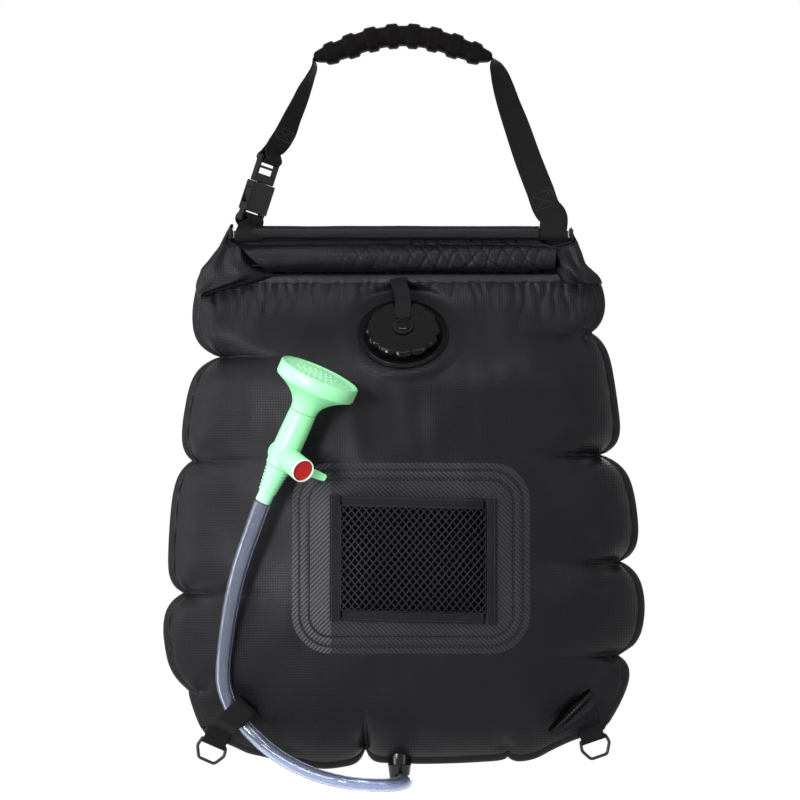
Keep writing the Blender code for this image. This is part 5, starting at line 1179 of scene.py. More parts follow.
def grip_place(share):
    """A point on the grip's centreline, from -1 at its left end to 1, and its direction."""
    half = GRIP_CHORD / 2
    around = np.array([share - GRIP_STEP, share, share + GRIP_STEP])
    before, drop, after = through(GRIP_DROP_SHARES, np.clip(around, -1.0, 1.0)) * half
    run = (min(share + GRIP_STEP, 1.0) - max(share - GRIP_STEP, -1.0)) * half
    point = Vector((share * half, 0.0, LUG_HEIGHT + GRIP_HEIGHT / 2 - drop))
    return point, Vector((run, 0.0, before - after)).normalized()


def lug_height(share):
    """How far the tread stands up at a share of the grip's length, from 0 to 1."""
    pitch = 1.0 / (LUG_COUNT + 0.6)
    tall = 0.0
    for lug in range(LUG_COUNT):
        middle = 0.5 + (lug - (LUG_COUNT - 1) / 2) * pitch
        half = LUG_WIDTH_SHARE * pitch / 2
        tall += float(smoothstep((half * 1.45 - abs(share - middle)) / (half * 0.62)))
    return tall


def make_grip():
    """The moulded grip: a tapered handle with rounded tread lugs over and under a smooth side band."""
    turns = full_turn(GRIP_SIDES)
    c, s = np.cos(turns), np.sin(turns)
    seam = GRIP_SEAM * dent(s, 0.05)
    ends = np.array([0.0, 0.002, 0.005, 0.010])
    rings = []
    for share in np.concatenate([ends, np.linspace(0.016, 0.984, GRIP_RINGS), [0.990, 0.995, 0.998, 1.0]]):
        point, along = grip_place(2 * share - 1)
        taper = GRIP_END_SHARE + (1 - GRIP_END_SHARE) * (1 - abs(2 * share - 1) ** 7)
        lip = GRIP_LIP * (1 - float(smoothstep(min(share, 1 - share) / 0.012)))
        tread = lug_height(share) * (0.10 + 0.90 * smoothstep((np.abs(s) - 0.18) / 0.30))
        tall = GRIP_HEIGHT / 2 * taper - 0.0002 + LUG_HEIGHT * tread - lip
        deep = GRIP_DEPTH / 2 - 0.0004 + LUG_HEIGHT * tread / 2 - lip
        y = np.sign(c) * (np.abs(c) ** 0.62 * deep + seam)
        z = np.sign(s) * np.abs(s) ** 0.78 * tall
        rings.append(np.array(point) + level_row(-along.z * z, y, along.x * z))
    faces = tube_faces(len(rings), len(turns))
    obj = clean(mesh_piece("grip_rubber_tread", np.concatenate(rings), faces, rubber_look()))
    place(obj, "handle", "black_rubber", "grip")


def buckle_frame():
    """The buckle's frame: +Z up its length, +X across its width, +Y through its thickness."""
    up = Vector((math.sin(BUCKLE_LEAN), 0.0, math.cos(BUCKLE_LEAN)))
    flat = Vector((math.cos(BUCKLE_LEAN), 0.0, -math.sin(BUCKLE_LEAN)))
    across = flat * math.cos(BUCKLE_TURN) + DEPTHWISE * math.sin(BUCKLE_TURN)
    return framed(across, up.cross(across), up, (BUCKLE_ACROSS, 0.0, -BUCKLE_DOWN))


def loop_radius(half, square):
    return half * (math.sqrt(2) if square else 1.0) + RUNNING + WEBBING_THICKNESS / 2


def bar_loop(half_thickness, half_height, square, leg):
    """(across the ply, along it) points of webbing hanging in a loop round a bar at zero."""
    a, b = loop_radius(half_thickness, square), loop_radius(half_height, square)
    gap = (WEBBING_THICKNESS + PLY_GAP) / 2
    turns = np.radians(np.linspace(50.0, 310.0, 14))
    round_it = [(a * math.sin(turn), b * math.cos(turn)) for turn in turns]
    return [(gap, b + leg), *round_it, (-gap, b + leg)]


def strap_turn(ahead, turn_share):
    """The direction of the webbing's width, from flat to the front to edge-on."""
    flat = Vector((-ahead.z, 0.0, ahead.x))
    turn = turn_share * math.pi / 2
    return (-flat if flat.x < 0 else flat) * math.cos(turn) + DEPTHWISE * math.sin(turn)


def strap_sides(ends, shares):
    """The webbing's width at each place between two ends, turned as its row of shares says."""
    aheads = [(after - before).normalized() for before, after in zip(ends, ends[2:])]
    return [strap_turn(ahead, turn) for ahead, (_, _, turn) in zip(aheads, shares)]


def left_strap_run():
    """Points and widths of the webbing from the buckle's upper bar to the grip's left end."""
    at = buckle_frame()
    loop = bar_loop(BAR_THICKNESS / 2, BAR_HEIGHT / 2, True, OVERRUN)
    points = [at @ Vector((0.0, y, PLUG_BAR + z)) for y, z in loop]
    shift = at.to_3x3() @ Vector((0.0, (WEBBING_THICKNESS + PLY_GAP) / 2, 0.0))
    run = [Vector((x * HANDLE_DROP, 0.0, -z * HANDLE_DROP)) for x, z, _ in LEFT_STRAP_SHARES[::-1]]
    sides = strap_sides([points[-1], *run, grip_place(-1.0)[0]], LEFT_STRAP_SHARES[::-1])
    path = [run[0] + shift, *points, *run]
    return path, [sides[0], *[at.col[0].to_3d()] * len(points), *sides], run, sides


def right_strap_run():
    """Points and widths of the webbing from the grip's right end to its loop on the rod."""
    run = [Vector((x * HANDLE_DROP, 0.0, -z * HANDLE_DROP)) for x, z, _ in RIGHT_STRAP_SHARES]
    gap = (WEBBING_THICKNESS + PLY_GAP) / 2
    loop = bar_loop(ROD_RADIUS, ROD_RADIUS, False, LOOP_LEG)
    loop_points = [Vector((RIGHT_LOOP_REACH, -y, z - HANDLE_DROP)) for y, z in loop]
    sides = strap_sides([grip_place(1.0)[0], *run, loop_points[0]], RIGHT_STRAP_SHARES)
    run = [point - DEPTHWISE * gap * min(1.0, k / 4) for k, point in enumerate(run)]
    back = [Vector((p.x, gap, p.z)) for p in run[:-3:-1]]
    return [*run, *loop_points, *back], [*sides, *[SIDEWAYS] * len(loop_points), *sides[:-3:-1]]


def make_handle_webbing():
    """One length of webbing, round the buckle's bar, through the grip and down to the rod, and its sewing."""
    left, left_sides, run, run_sides = left_strap_run()
    arc = [grip_place(share)[0] for share in np.linspace(-1.0, 1.0, GRIP_STEPS)]
    right, right_sides = right_strap_run()
    sides = [*left_sides, *[DEPTHWISE] * len(arc), *right_sides]
    obj = strap("handle_strap", [*left, *arc, *right], sides, WEBBING_LOOK, HANDLE_STRAP_STEPS)
    place(obj, "handle", "webbing", "handle_webbing")
    left_at, right_at = run[0].lerp(run[1], 0.9), right[6].lerp(right[7], 0.5)
    stitch_box("stitch_strap_left", left_at, run[2] - run[1], run_sides[1], 0.010)
    stitch_box("stitch_strap_right", right_at, right[7] - right[6], right_sides[6], 0.014)


def stitch_box(name, middle, ahead, side, tall):
    """A sewn square with its cross, on the front of a strap."""
    ahead, side = unit(np.array(ahead)), np.array(side)
    side = unit(side - ahead * np.dot(side, ahead))
    normal = np.cross(side, ahead)
    if normal[1] > 0:
        normal = -normal
    wide = WEBBING_WIDTH / 2 - STITCH_BOX_INSET
    corners = np.array(((-1, -1), (1, -1), (1, 1), (-1, 1), (-1, -1), (1, 1), (1, -1), (-1, 1)))
    base = np.array(middle) + normal * (WEBBING_THICKNESS / 2)
    line = []
    for start, end in zip(corners, corners[1:]):
        for share in np.linspace(0.0, 1.0, 12, endpoint=False):
            u, v = start + (end - start) * share
            line.append(base + side * wide * u + ahead * tall / 2 * v)
    place(stitches(name, line, [normal] * len(line), STRAP_STITCH), "handle", "webbing")


def make_buckle_webbing():
    """The short sewn band between the buckle's lower bar and the rod's left end."""
    at = buckle_frame()
    a = loop_radius(BAR_THICKNESS / 2, True) + BAND_SLACK
    b = loop_radius(BAR_HEIGHT / 2, True) + BAND_SLACK
    r = loop_radius(ROD_RADIUS, False) + BAND_SLACK
    rod_at, across = Vector((-LEFT_LOOP_REACH, 0.0, -HANDLE_DROP)), at.col[0].to_3d()
    below, above = np.radians(np.linspace(90.0, 270.0, 9)), np.radians(np.linspace(-90.0, 90.0, 9))
    low = [rod_at + Vector((0.0, r * math.sin(t), r * math.cos(t))) for t in below]
    high = [at @ Vector((0.0, a * math.sin(t), SOCKET_BAR + b * math.cos(t))) for t in above]
    up = [low[-1].lerp(high[0], share) for share, _ in BAND_TWIST_SHARES]
    up_sides = [SIDEWAYS.lerp(across, turn) for _, turn in BAND_TWIST_SHARES]
    share, turn = BAND_TWIST_SHARES[0]
    path = [*low, *up, *high, high[-1].lerp(low[0], share)]
    sides = [SIDEWAYS] * len(low) + up_sides + [across] * len(high) + [across.lerp(SIDEWAYS, turn)]
    obj = strap("buckle_strap", path, sides, WEBBING_LOOK, BUCKLE_STRAP_STEPS)
    place(obj, "handle", "webbing", "buckle_webbing")


def dress(node, look, width):
    """A CAD solid that stays, with its material and softly rounded edges."""
    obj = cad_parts[node]
    obj.data.materials.clear()
    obj.data.materials.append(look)
    if width:
        edge = obj.modifiers.new("rounding", "BEVEL")
        edge.width = width
        edge.segments = 2
        edge.limit_method = "ANGLE"
        edge.angle_limit = math.radians(35.0)
        edge.harden_normals = True


# The filler: flange, cap, ring, pin and tether

NECK_BORE_RADIUS = 0.0245
NECK_WALL = 0.0025
NECK_HEIGHT = 0.0073
NECK_BELOW = 0.003
FLANGE_THICKNESS = 0.0022
FLANGE_LIFT = 0.0007
CAP_RADIUS = 0.0332
CAP_LOBE = 0.0009
CAP_LOBES = 12
CAP_TOP = 0.0019
GASKET_THICKNESS = 0.0012
TETHER_RING_RADIUS = 0.0094
TETHER_RING_BORE = 0.0042
TETHER_RING_THICKNESS = 0.0016
TETHER_WIDTH = 0.0144
TETHER_THICKNESS = 0.0012
PIN_HEAD_RADIUS = 0.0066
PIN_SHAFT_RADIUS = 0.0036
PIN_HEAD_HEIGHT = 0.0014
TETHER_START = -0.0048
BAND_HEIGHT = 0.0085
NECK_TOP = FLANGE_LIFT + NECK_HEIGHT
CAP_CEILING = NECK_TOP + 2 * TOUCH + GASKET_THICKNESS
CAP_FACE = CAP_CEILING + CAP_TOP
RING_FLOOR = CAP_FACE + TOUCH
PIN_FLOOR = RING_FLOOR + TETHER_RING_THICKNESS + TOUCH


def filler_frame():
    """The filler's frame: its origin on the bag's outer skin, +Z out of the neck."""
    axis = Vector((0.0, -math.cos(FILLER_TILT), math.sin(FILLER_TILT)))
    at = Vector((0.0, BAG_SETBACK - (TOUCH / 2 + FABRIC + FILLER_DEPTH), -FILLER_DOWN))
    return facing(axis, at, (1.0, 0.0, 0.0))


def make_flange():
    """The welded flange, with its raised weld ring, and the neck."""
    bore, outer = NECK_BORE_RADIUS, NECK_BORE_RADIUS + NECK_WALL
    base, rim = FLANGE_LIFT + FLANGE_THICKNESS, FLANGE_RADIUS
    profile = [(bore, -NECK_BELOW + 0.002), (bore, NECK_TOP), (outer - 0.0004, NECK_TOP)]
    profile += [(outer - 0.0004, base), (rim - 0.0062, base), (rim - 0.0054, base + 0.0005)]
    profile += [(rim - 0.0030, base + 0.0005), (rim - 0.0024, base - 0.0001), (rim, base - 0.0002)]
    profile += [(rim, FLANGE_LIFT), (outer, FLANGE_LIFT), (outer, -NECK_BELOW), (bore, -NECK_BELOW)]
    ride = ("bag", "black_plastic", "filler_neck")
    lathe("filler_flange", fillet(profile, 0.0006), FLANGE_LOOK, filler_frame(), ride, 144, closed=True)


def make_cap():
    """The screw cap: a flat disc with a scalloped rim and fine grip ribs on its side."""
    skirt = FLANGE_LIFT + FLANGE_THICKNESS + TOUCH
    inner, hole = NECK_BORE_RADIUS + NECK_WALL + RUNNING, PIN_SHAFT_RADIUS + TOUCH
    top, edge = CAP_FACE, 0.0024
    profile = [(hole, CAP_CEILING), (hole, top), (CAP_RADIUS - edge, top), (CAP_RADIUS, top - edge)]
    profile += [(CAP_RADIUS, skirt), (inner, skirt), (inner, CAP_CEILING), (hole, CAP_CEILING)]

    def grow(turns, radius, height):
        share = smoothstep((radius - 0.0290) / 0.0030)
        lobe = 0.0013 * (np.abs(np.cos(turns * CAP_LOBES / 2)) ** 0.55 * 2 - 1.35)
        side = 1.0 - smoothstep((height - top + 0.0036) / 0.0006)
        ribs = 0.00016 * np.cos(turns * CAP_LOBES * 8) * side
        return radius + share * (lobe - 0.0003 + ribs)

    ride = ("cap", "black_plastic", "screw_cap")
    lathe("cap_scalloped", fillet(profile, 0.0009), CAP_LOOK, filler_frame(), ride, 576, grow=grow)


def make_tether_ring():
    low, high = RING_FLOOR, RING_FLOOR + TETHER_RING_THICKNESS
    wide, bore = TETHER_RING_RADIUS, TETHER_RING_BORE
    profile = [(bore, high), (wide - 0.0004, high), (wide, high - 0.0005), (wide, low + 0.0003)]
    profile += [(wide - 0.0004, low), (bore, low)]
    ride = ("cap_ring", "black_rubber", "tether_ring")
    lathe("tether_eye", fillet(profile, 0.0003), TETHER_LOOK, filler_frame(), ride, 72, closed=True)


def make_pin():
    """The pin's domed head with a cross recess."""
    turns = full_turn(80)
    at, top = filler_frame(), PIN_FLOOR + PIN_HEAD_HEIGHT
    shaft, head = PIN_SHAFT_RADIUS, PIN_HEAD_RADIUS
    rings = [(shaft, CAP_CEILING - TOUCH), (shaft, PIN_FLOOR), (head, PIN_FLOOR)]
    rings += [(head * share, None) for share in np.linspace(1.0, 0.0, 26)]
    points = []
    for radius, height in rings:
        x, y = radius * np.cos(turns), radius * np.sin(turns)
        arm, reach = np.minimum(abs(x), abs(y)), np.maximum(abs(x), abs(y))
        cross = smoothstep((0.00085 - arm) / 0.0003) * smoothstep((0.0042 - reach) / 0.0003)
        dome = top - 0.0009 * ((radius / head) ** 4 + cross)
        z = dome if height is None else np.full(len(turns), height)
        points += [at @ Vector(spot) for spot in zip(x, y, z)]
    faces = grid_faces(len(rings), len(turns), True, ring=True) + [tuple(range(len(turns)))]
    obj = sharpen(clean(mesh_piece("tether_pin_head", points, faces, CAP_LOOK), MERGED), 40)
    place(obj, "cap_ring", "black_plastic", "tether_pin")


def make_tether():
    """The flat strap from the weld band over the cap's rim to the ring, with a raised edge each side."""
    at = filler_frame()
    uphill = Vector((0.0, math.sin(FILLER_TILT), math.cos(FILLER_TILT)))
    level = RING_FLOOR + TETHER_RING_THICKNESS / 2

    def over_cap(distance):
        return at.translation + at.col[2].to_3d() * level + uphill * distance

    start_z = PANEL_TOP - BAND_HEIGHT / 2
    lift = 4 * TOUCH + BAND_THICKNESS + TETHER_THICKNESS / 2
    start = Vector((TETHER_START, float(skin(-1, TETHER_START, start_z, lift + 0.0012)), start_z))
    rim = CAP_RADIUS + CAP_LOBE
    at_rim = over_cap(rim + TETHER_THICKNESS)
    path = [start, start.lerp(at_rim, 0.45) - DEPTHWISE * TETHER_THICKNESS, at_rim]
    path += [over_cap(distance) for distance in (rim * 0.8, rim * 0.55, TETHER_RING_RADIUS + RUNNING)]
    line, across = resampled(path, [SIDEWAYS] * len(path), 90)
    sections = []
    for share in np.linspace(0.0, 1.0, len(line)):
        section = flat_section(TETHER_WIDTH, TETHER_THICKNESS, 24)
        section[:, 0] *= 1.0 - 0.10 * smoothstep((share - 0.85) / 0.15)
        edge = np.abs(section[:, 0]) / (TETHER_WIDTH / 2)
        section[:, 1] += np.sign(section[:, 1]) * 0.00025 * smoothstep((edge - 0.72) / 0.1)
        sections.append(section)
    obj = sharpen(sweep("tether_strap", line, across, sections, TETHER_LOOK), 60)
    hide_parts("cap_tether")
    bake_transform(obj)


# The patch and the mesh pocket

PATCH_WIDTH = 0.2178
PATCH_HEIGHT = 0.1755
PATCH_ACROSS = 0.0072
PATCH_TOP = 0.3700
PATCH_CORNER = 0.037
PATCH_THICKNESS = 0.0012
POCKET_WIDTH = 0.1494
POCKET_HEIGHT = 0.1125
POCKET_ACROSS = 0.0090
POCKET_TOP = 0.4025
POCKET_SLOPE_SHARE = 0.024
TAPE_WIDTH = 0.0098
TAPE_THICKNESS = 0.0016
POCKET_BOW = 0.010
PATCH_LIFT = 4 * TOUCH
POCKET_MIDDLE = -POCKET_TOP - POCKET_HEIGHT / 2
LEFT_COLUMN = POCKET_ACROSS - POCKET_WIDTH / 2 + 0.002
TAPE_LIFT = 6 * TOUCH + PATCH_THICKNESS
OPENING_SHARE = 1 - 2 * (TAPE_WIDTH + TOUCH) / POCKET_WIDTH
HEM_SHARE = OPENING_SHARE - 8 * TOUCH / POCKET_WIDTH
OPENING_FLOOR = POCKET_HEIGHT - TAPE_WIDTH - TOUCH
PATCH_ROWS = (0.0088, 0.0172)
PATCH_ACROSS_STEPS = 170
PATCH_DOWN_STEPS = 150
PATCH_ROUND_STEPS = 520
TAPE_ROW_SHARES = (0.18, 0.82)
TAPE_STEPS = 150
TAPE_ROWS = 9
TAPE_STITCH_STEPS = 200


def round_box(width, height, corner, count, inset):
    """Points round a rectangle with round corners, from the top left, going right."""
    half_w, half_h, corner = width / 2 - inset, height / 2 - inset, max(corner - inset, 0.002)
    line = []
    for cx, cz, start in ((1, 1, 90), (1, -1, 0), (-1, -1, -90), (-1, 1, -180)):
        for turn in np.radians(np.linspace(start, start - 90, 16)):
            x = cx * (half_w - corner) + corner * math.cos(turn)
            line.append((x, cz * (half_h - corner) + corner * math.sin(turn)))
    return even_line(line + line[:1], count)


def on_front(xs, zs, lift):
    return np.stack([xs, skin(-1, xs, zs, lift), zs], axis=-1)


def front_normals(xs, zs, lift, step=0.0006):
    here = on_front(xs, zs, lift)
    return unit(np.cross(on_front(xs + step, zs, lift) - here, on_front(xs, zs + step, lift) - here))


def patch_height(xs, zs):
    """The patch's lift off the skin: thin at its welded edge, with two pressed rows."""
    dx = np.abs(xs - PATCH_ACROSS) - (PATCH_WIDTH / 2 - PATCH_CORNER)
    dz = np.abs(zs + PATCH_TOP + PATCH_HEIGHT / 2) - (PATCH_HEIGHT / 2 - PATCH_CORNER)
    out = np.hypot(np.maximum(dx, 0), np.maximum(dz, 0)) + np.minimum(np.maximum(dx, dz), 0)
    inward = PATCH_CORNER - out
    lift = PATCH_LIFT - 0.0004 * (1 - smoothstep(inward / 0.004))
    for row in PATCH_ROWS:
        lift = lift - 0.0006 * dent(inward - row, 0.0009)
    return lift + 0.0004 * dent(inward - sum(PATCH_ROWS) / 2, 0.0026)


def make_patch():
    """The sewn patch: a round-cornered coarse sheet, pressed in along its two rows of stitches."""
    middle = (PATCH_ACROSS, -PATCH_TOP - PATCH_HEIGHT / 2)
    columns = np.sin(np.linspace(-np.pi / 2, np.pi / 2, PATCH_ACROSS_STEPS))
    grid = []
    for v in np.sin(np.linspace(np.pi / 2, -np.pi / 2, PATCH_DOWN_STEPS)):
        near = PATCH_HEIGHT / 2 * (1 - abs(v))
        inside = max(PATCH_CORNER - near, 0.0)
        half = PATCH_WIDTH / 2 - PATCH_CORNER + math.sqrt(max(PATCH_CORNER**2 - inside**2, 0.0))
        xs, zs = np.broadcast_arrays(middle[0] + half * columns, middle[1] + PATCH_HEIGHT / 2 * v)
        grid.append(on_front(xs, zs, patch_height(xs, zs)))
    grid = np.array(grid)
    obj = sheet_piece("patch_sheet", grid, PATCH_LOOK, PATCH_THICKNESS, 1.0, flipped=True, flat_spots=True)
    place(obj, "bag", "patch_cloth", "pocket_patch")
    for number, inset in enumerate(PATCH_ROWS):
        line = round_box(PATCH_WIDTH, PATCH_HEIGHT, PATCH_CORNER, PATCH_ROUND_STEPS, inset)
        xs, zs = (line + middle).T
        lift = patch_height(xs, zs) + PATCH_THICKNESS
        spots, normals = on_front(xs, zs, lift), front_normals(xs, zs, lift)
        place(stitches(f"patch_stitches_{number}", spots, normals, PATCH_STITCH), "bag", "patch_cloth")


def pocket_place(u, down):
    """A place in the pocket: u from -1 at its left edge to 1, and a distance from its top."""
    x = POCKET_ACROSS + u * POCKET_WIDTH / 2
    return x, -POCKET_TOP - down - POCKET_SLOPE_SHARE * (x - POCKET_ACROSS)


def pocket_bow(x, z):
    """How far the loose net and hem stand off the patch, held down at the sides and floor."""
    u = np.clip(np.abs(x - POCKET_ACROSS) / (POCKET_WIDTH / 2 * OPENING_SHARE), 0.0, 1.0)
    down = -z - POCKET_TOP - POCKET_SLOPE_SHARE * (x - POCKET_ACROSS)
    v = np.clip(down / OPENING_FLOOR, 0.0, 1.0)
    return TAPE_LIFT + POCKET_BOW * (1 - u**4) * (1 - v**6)


def tape(name, node, u0, u1, down0, down1, lift):
    """A bound edge: a padded tape with a stitch row near each edge."""
    upright = down1 - down0 == POCKET_HEIGHT
    long, wide = np.linspace(0.0, 1.0, TAPE_STEPS), np.linspace(0.0, 1.0, TAPE_ROWS)

    def places(u_shares, down_shares):
        xs, zs = pocket_place(u0 + (u1 - u0) * u_shares, down0 + (down1 - down0) * down_shares)
        return xs, zs, lift(xs, zs) if callable(lift) else lift

    us, downs = np.meshgrid(wide, long) if upright else np.meshgrid(long, wide)
    xs, zs, height = places(us, downs)
    share = us if upright else downs
    crown = 0.0005 * np.sin(share * math.pi) + 0.00012 * waves(xs, zs, 8, 0.012, 44)
    for row in TAPE_ROW_SHARES:
        crown = crown - 0.0003 * dent(share - row, 0.07)
    grid = on_front(xs, zs, height + crown)
    obj = sheet_piece(name, grid, TAPE_LOOK, TAPE_THICKNESS, 1.0, flipped=True)
    place(obj, "bag", "webbing", node)
    for number, row in enumerate(TAPE_ROW_SHARES):
        along, across = np.linspace(0.0, 1.0, TAPE_STITCH_STEPS), np.full(TAPE_STITCH_STEPS, row)
        xs, zs, height = places(across, along) if upright else places(along, across)
        height = height + TAPE_THICKNESS + 0.0001
        spots, normals = on_front(xs, zs, height), front_normals(xs, zs, height)
        place(stitches(f"{name}_stitches_{number}", spots, normals, TAPE_STITCH), "bag", "webbing")


def make_tapes():
    side = 2 * TAPE_WIDTH / POCKET_WIDTH
    floor = POCKET_HEIGHT - TAPE_WIDTH
    tape("tape_left", "pocket_tape_left", -1.0, -1.0 + side, 0.0, POCKET_HEIGHT, TAPE_LIFT)
    tape("tape_right", "pocket_tape_right", 1.0 - side, 1.0, 0.0, POCKET_HEIGHT, TAPE_LIFT)
    tape("tape_bottom", "pocket_tape_bottom", -HEM_SHARE, HEM_SHARE, floor, POCKET_HEIGHT, TAPE_LIFT)
    tape("hem_top", "pocket_hem_top", -HEM_SHARE, HEM_SHARE, 0.0, TAPE_WIDTH, pocket_bow)


NET_COLUMNS = 20
NET_ROWS = 12
NET_STRAND = 0.0019
NET_TUCK = 0.0004


def make_net():
    """The mesh of the pocket: fine strands knotted into diamonds, a little uneven."""
    wide, tall = 2 * NET_COLUMNS, 2 * NET_ROWS
    top, floor = TAPE_WIDTH - NET_TUCK, OPENING_FLOOR + NET_TUCK
    reach = OPENING_SHARE + 0.002
    draw = np.random.default_rng(11)

    def spot(i, j):
        x, z = pocket_place(reach * (2 * i / wide - 1), top + (floor - top) * j / tall)
        if 0 < i < wide and 0 < j < tall:
            x, z = x + draw.uniform(-0.0003, 0.0003), z + draw.uniform(-0.0003, 0.0003)
        x, z = np.array(x), np.array(z)
        lift = pocket_bow(x, z) + 0.0008 + 0.0006 * waves(x, z, 6, 0.05, 91)
        return float(x), float(skin(-1, x, z, lift)), float(z)

    places = [(i, j) for i in range(wide + 1) for j in range(tall + 1)]
    knots = {knot: number for number, knot in enumerate(p for p in places if sum(p) % 2 == 0)}
    faces = []
    for i, j in places:
        if (i, j) not in knots:
            round_it = ((i - 1, j), (i, j + 1), (i + 1, j), (i, j - 1))
            faces.append([knots[knot] for knot in round_it if knot in knots])
    obj = mesh_piece("net_strands", [spot(*knot) for knot in knots], faces, NET_LOOK)
    strands = obj.modifiers.new("strands", "WIREFRAME")
    strands.thickness = NET_STRAND
    strands.use_boundary = True
    strands.use_replace = True
    strands.use_even_offset = False
    place(obj, "bag", "mesh_net", "pocket_net")


# The lower corners: straps and D-rings

LEFT_RING_SHARE = -0.784
RIGHT_RING_SHARE = 0.790
RING_WIRE_RADIUS = 0.0013
RING_WIDTH = 0.0262
RING_LENGTH = 0.0175
RING_SHARES = (
    (-0.440, 0.00), (-0.500, 0.45), (-0.290, 1.00), (0.290, 1.00), (0.500, 0.45), (0.440, 0.00),
)
RING_STANDOFF = 0.0025
RING_BEND = 0.0022
CORNER_STRAP_WIDTH = 0.0215
RIGHT_STRAP_SPREAD_SHARE = 2.35
STRAP_CREST = 0.0290
HOSE_CREST = 0.0430
STRAP_TAIL = 0.006
LEFT_ANCHOR_SHARES = (-0.6488, 0.8691)
RIGHT_ANCHOR_SHARES = (0.7130, 0.8960)
LEFT_STRAP_RISE_SHARES = (
    (0.00, 0.00), (0.03, 0.96), (0.10, 1.02), (0.34, 1.03), (0.66, 1.00), (0.77, 0.80), (0.90, 0.42),
    (1.00, 0.15),
)
RIGHT_STRAP_RISE_SHARES = (
    (0.00, 0.75), (0.20, 0.90), (0.40, 0.80), (0.60, 0.55), (0.80, 0.30), (1.00, 0.10),
)


def plain_skin(x, z, lift):
    """The frame's own front skin, without the folds, before the bag's setback is added."""
    x, z = np.asarray(x, float), np.asarray(z, float)
    return -(TOUCH / 2 + FABRIC + front_fullness(x, z) + lift)


def corner_frame(share):
    """A D-ring's frame at the bottom edge: +X along its bar, +Z outward, +Y to the back."""
    x = share * BAG_HALF_WIDTH
    left, here, right = bottom_edge(np.array([x - SEAM_FLANGE, x, x + SEAM_FLANGE]))
    along = Vector((2 * SEAM_FLANGE, 0.0, right - left)).normalized()
    out = Vector((along.z, 0.0, -along.x))
    at = Vector((x, 0.0, here)) + out * (RING_WIRE_RADIUS + RING_STANDOFF)
    return framed(along, out.cross(along), out, at)


def strap_rows(rises, anchor, ring_frame, crest, spread):
    """Rows across a corner strap, from its sewn inner end over its crest to the ring's fold."""
    fold = RING_WIRE_RADIUS + 2 * RUNNING + WEBBING_THICKNESS / 2
    bar, bar_across, out = ring_frame.translation, ring_frame.col[0].to_3d(), ring_frame.col[2].to_3d()
    start = Vector((anchor[0] * BAG_HALF_WIDTH, 0.0, PANEL_TOP - anchor[1] * PANEL_HEIGHT))
    way = (bar - start).normalized()
    across_way = Vector((-way.z, 0.0, way.x)) * (-1 if way.z > 0 else 1)

    def row(middle, across, width=CORNER_STRAP_WIDTH):
        return [middle + across * width / 2 * k for k in (-1.0, 0.0, 1.0)]

    rows = []
    for share, height in rises:
        across = across_way.lerp(bar_across, share).normalized()
        width = CORNER_STRAP_WIDTH * (1 + (spread - 1) * (1 - share) ** 1.4)
        rows.append(row(start.lerp(bar - out * (SEAM_FLANGE * 2), share), across, width))
        for at in rows[-1]:
            at.y = min(float(plain_skin(at.x, at.z, TOUCH + WEBBING_THICKNESS / 2)), -crest * height)
    for turn in np.radians(np.linspace(-90.0, 90.0, 7)):
        rows.append(row(bar + (out * math.cos(turn) + DEPTHWISE * math.sin(turn)) * fold, bar_across))
    flat = TOUCH / 2 + FABRIC + TOUCH + WEBBING_THICKNESS / 2
    rows.append(row(bar - out * STRAP_TAIL + DEPTHWISE * flat, bar_across))
    return np.array([[tuple(p) for p in three] for three in rows]) + np.array([0.0, BAG_SETBACK, 0.0])


def make_corner_strap(name, node, rows, look):
    """A webbing strap through the frame's rows, finely divided, with its weave along it."""
    chord = run_along(rows[:, 1])
    even = np.linspace(0.0, chord[-1], 120)
    left, middle, right = (smooth_through(chord, rows[:, column], even) for column in range(3))
    lines = []
    for u in np.linspace(-1.0, 1.0, 15):
        lines.append(left * u * (u - 1) / 2 + middle * (1 - u * u) + right * u * (u + 1) / 2)
    obj = sheet_piece(name, np.stack(lines, axis=1), look, WEBBING_THICKNESS, 0.0, flipped=True)
    place(obj, "bag", "webbing", node)


def make_slit_shade():
    """A near-black sheet laid in the mouth of the fold above the right corner strap: painted shade."""
    (x0, z0), (x1, z1) = at_px(*SLIT[:2]), at_px(*SLIT[2:])
    start, end = np.array([x0, z0]), np.array([x1, z1])
    run_x, run_z = unit(end - start)
    across = np.array([-run_z, run_x])
    grid = []
    for share in np.linspace(0.02, 0.98, 40):
        arch = math.sqrt(math.sin(share * math.pi))
        offs = arch * (0.0016 + 0.0034 * np.linspace(-1.0, 1.0, 7))
        spots = [start + (end - start) * share + across * off for off in offs]
        grid.append([(x, float(skin(-1, x, z, 0.0014)), z) for x, z in spots])
    place(clean(sheet_piece("slit_painted_shade", np.array(grid), SLIT_SHADE_LOOK, 0.0004, 0.0)), "bag", "webbing")


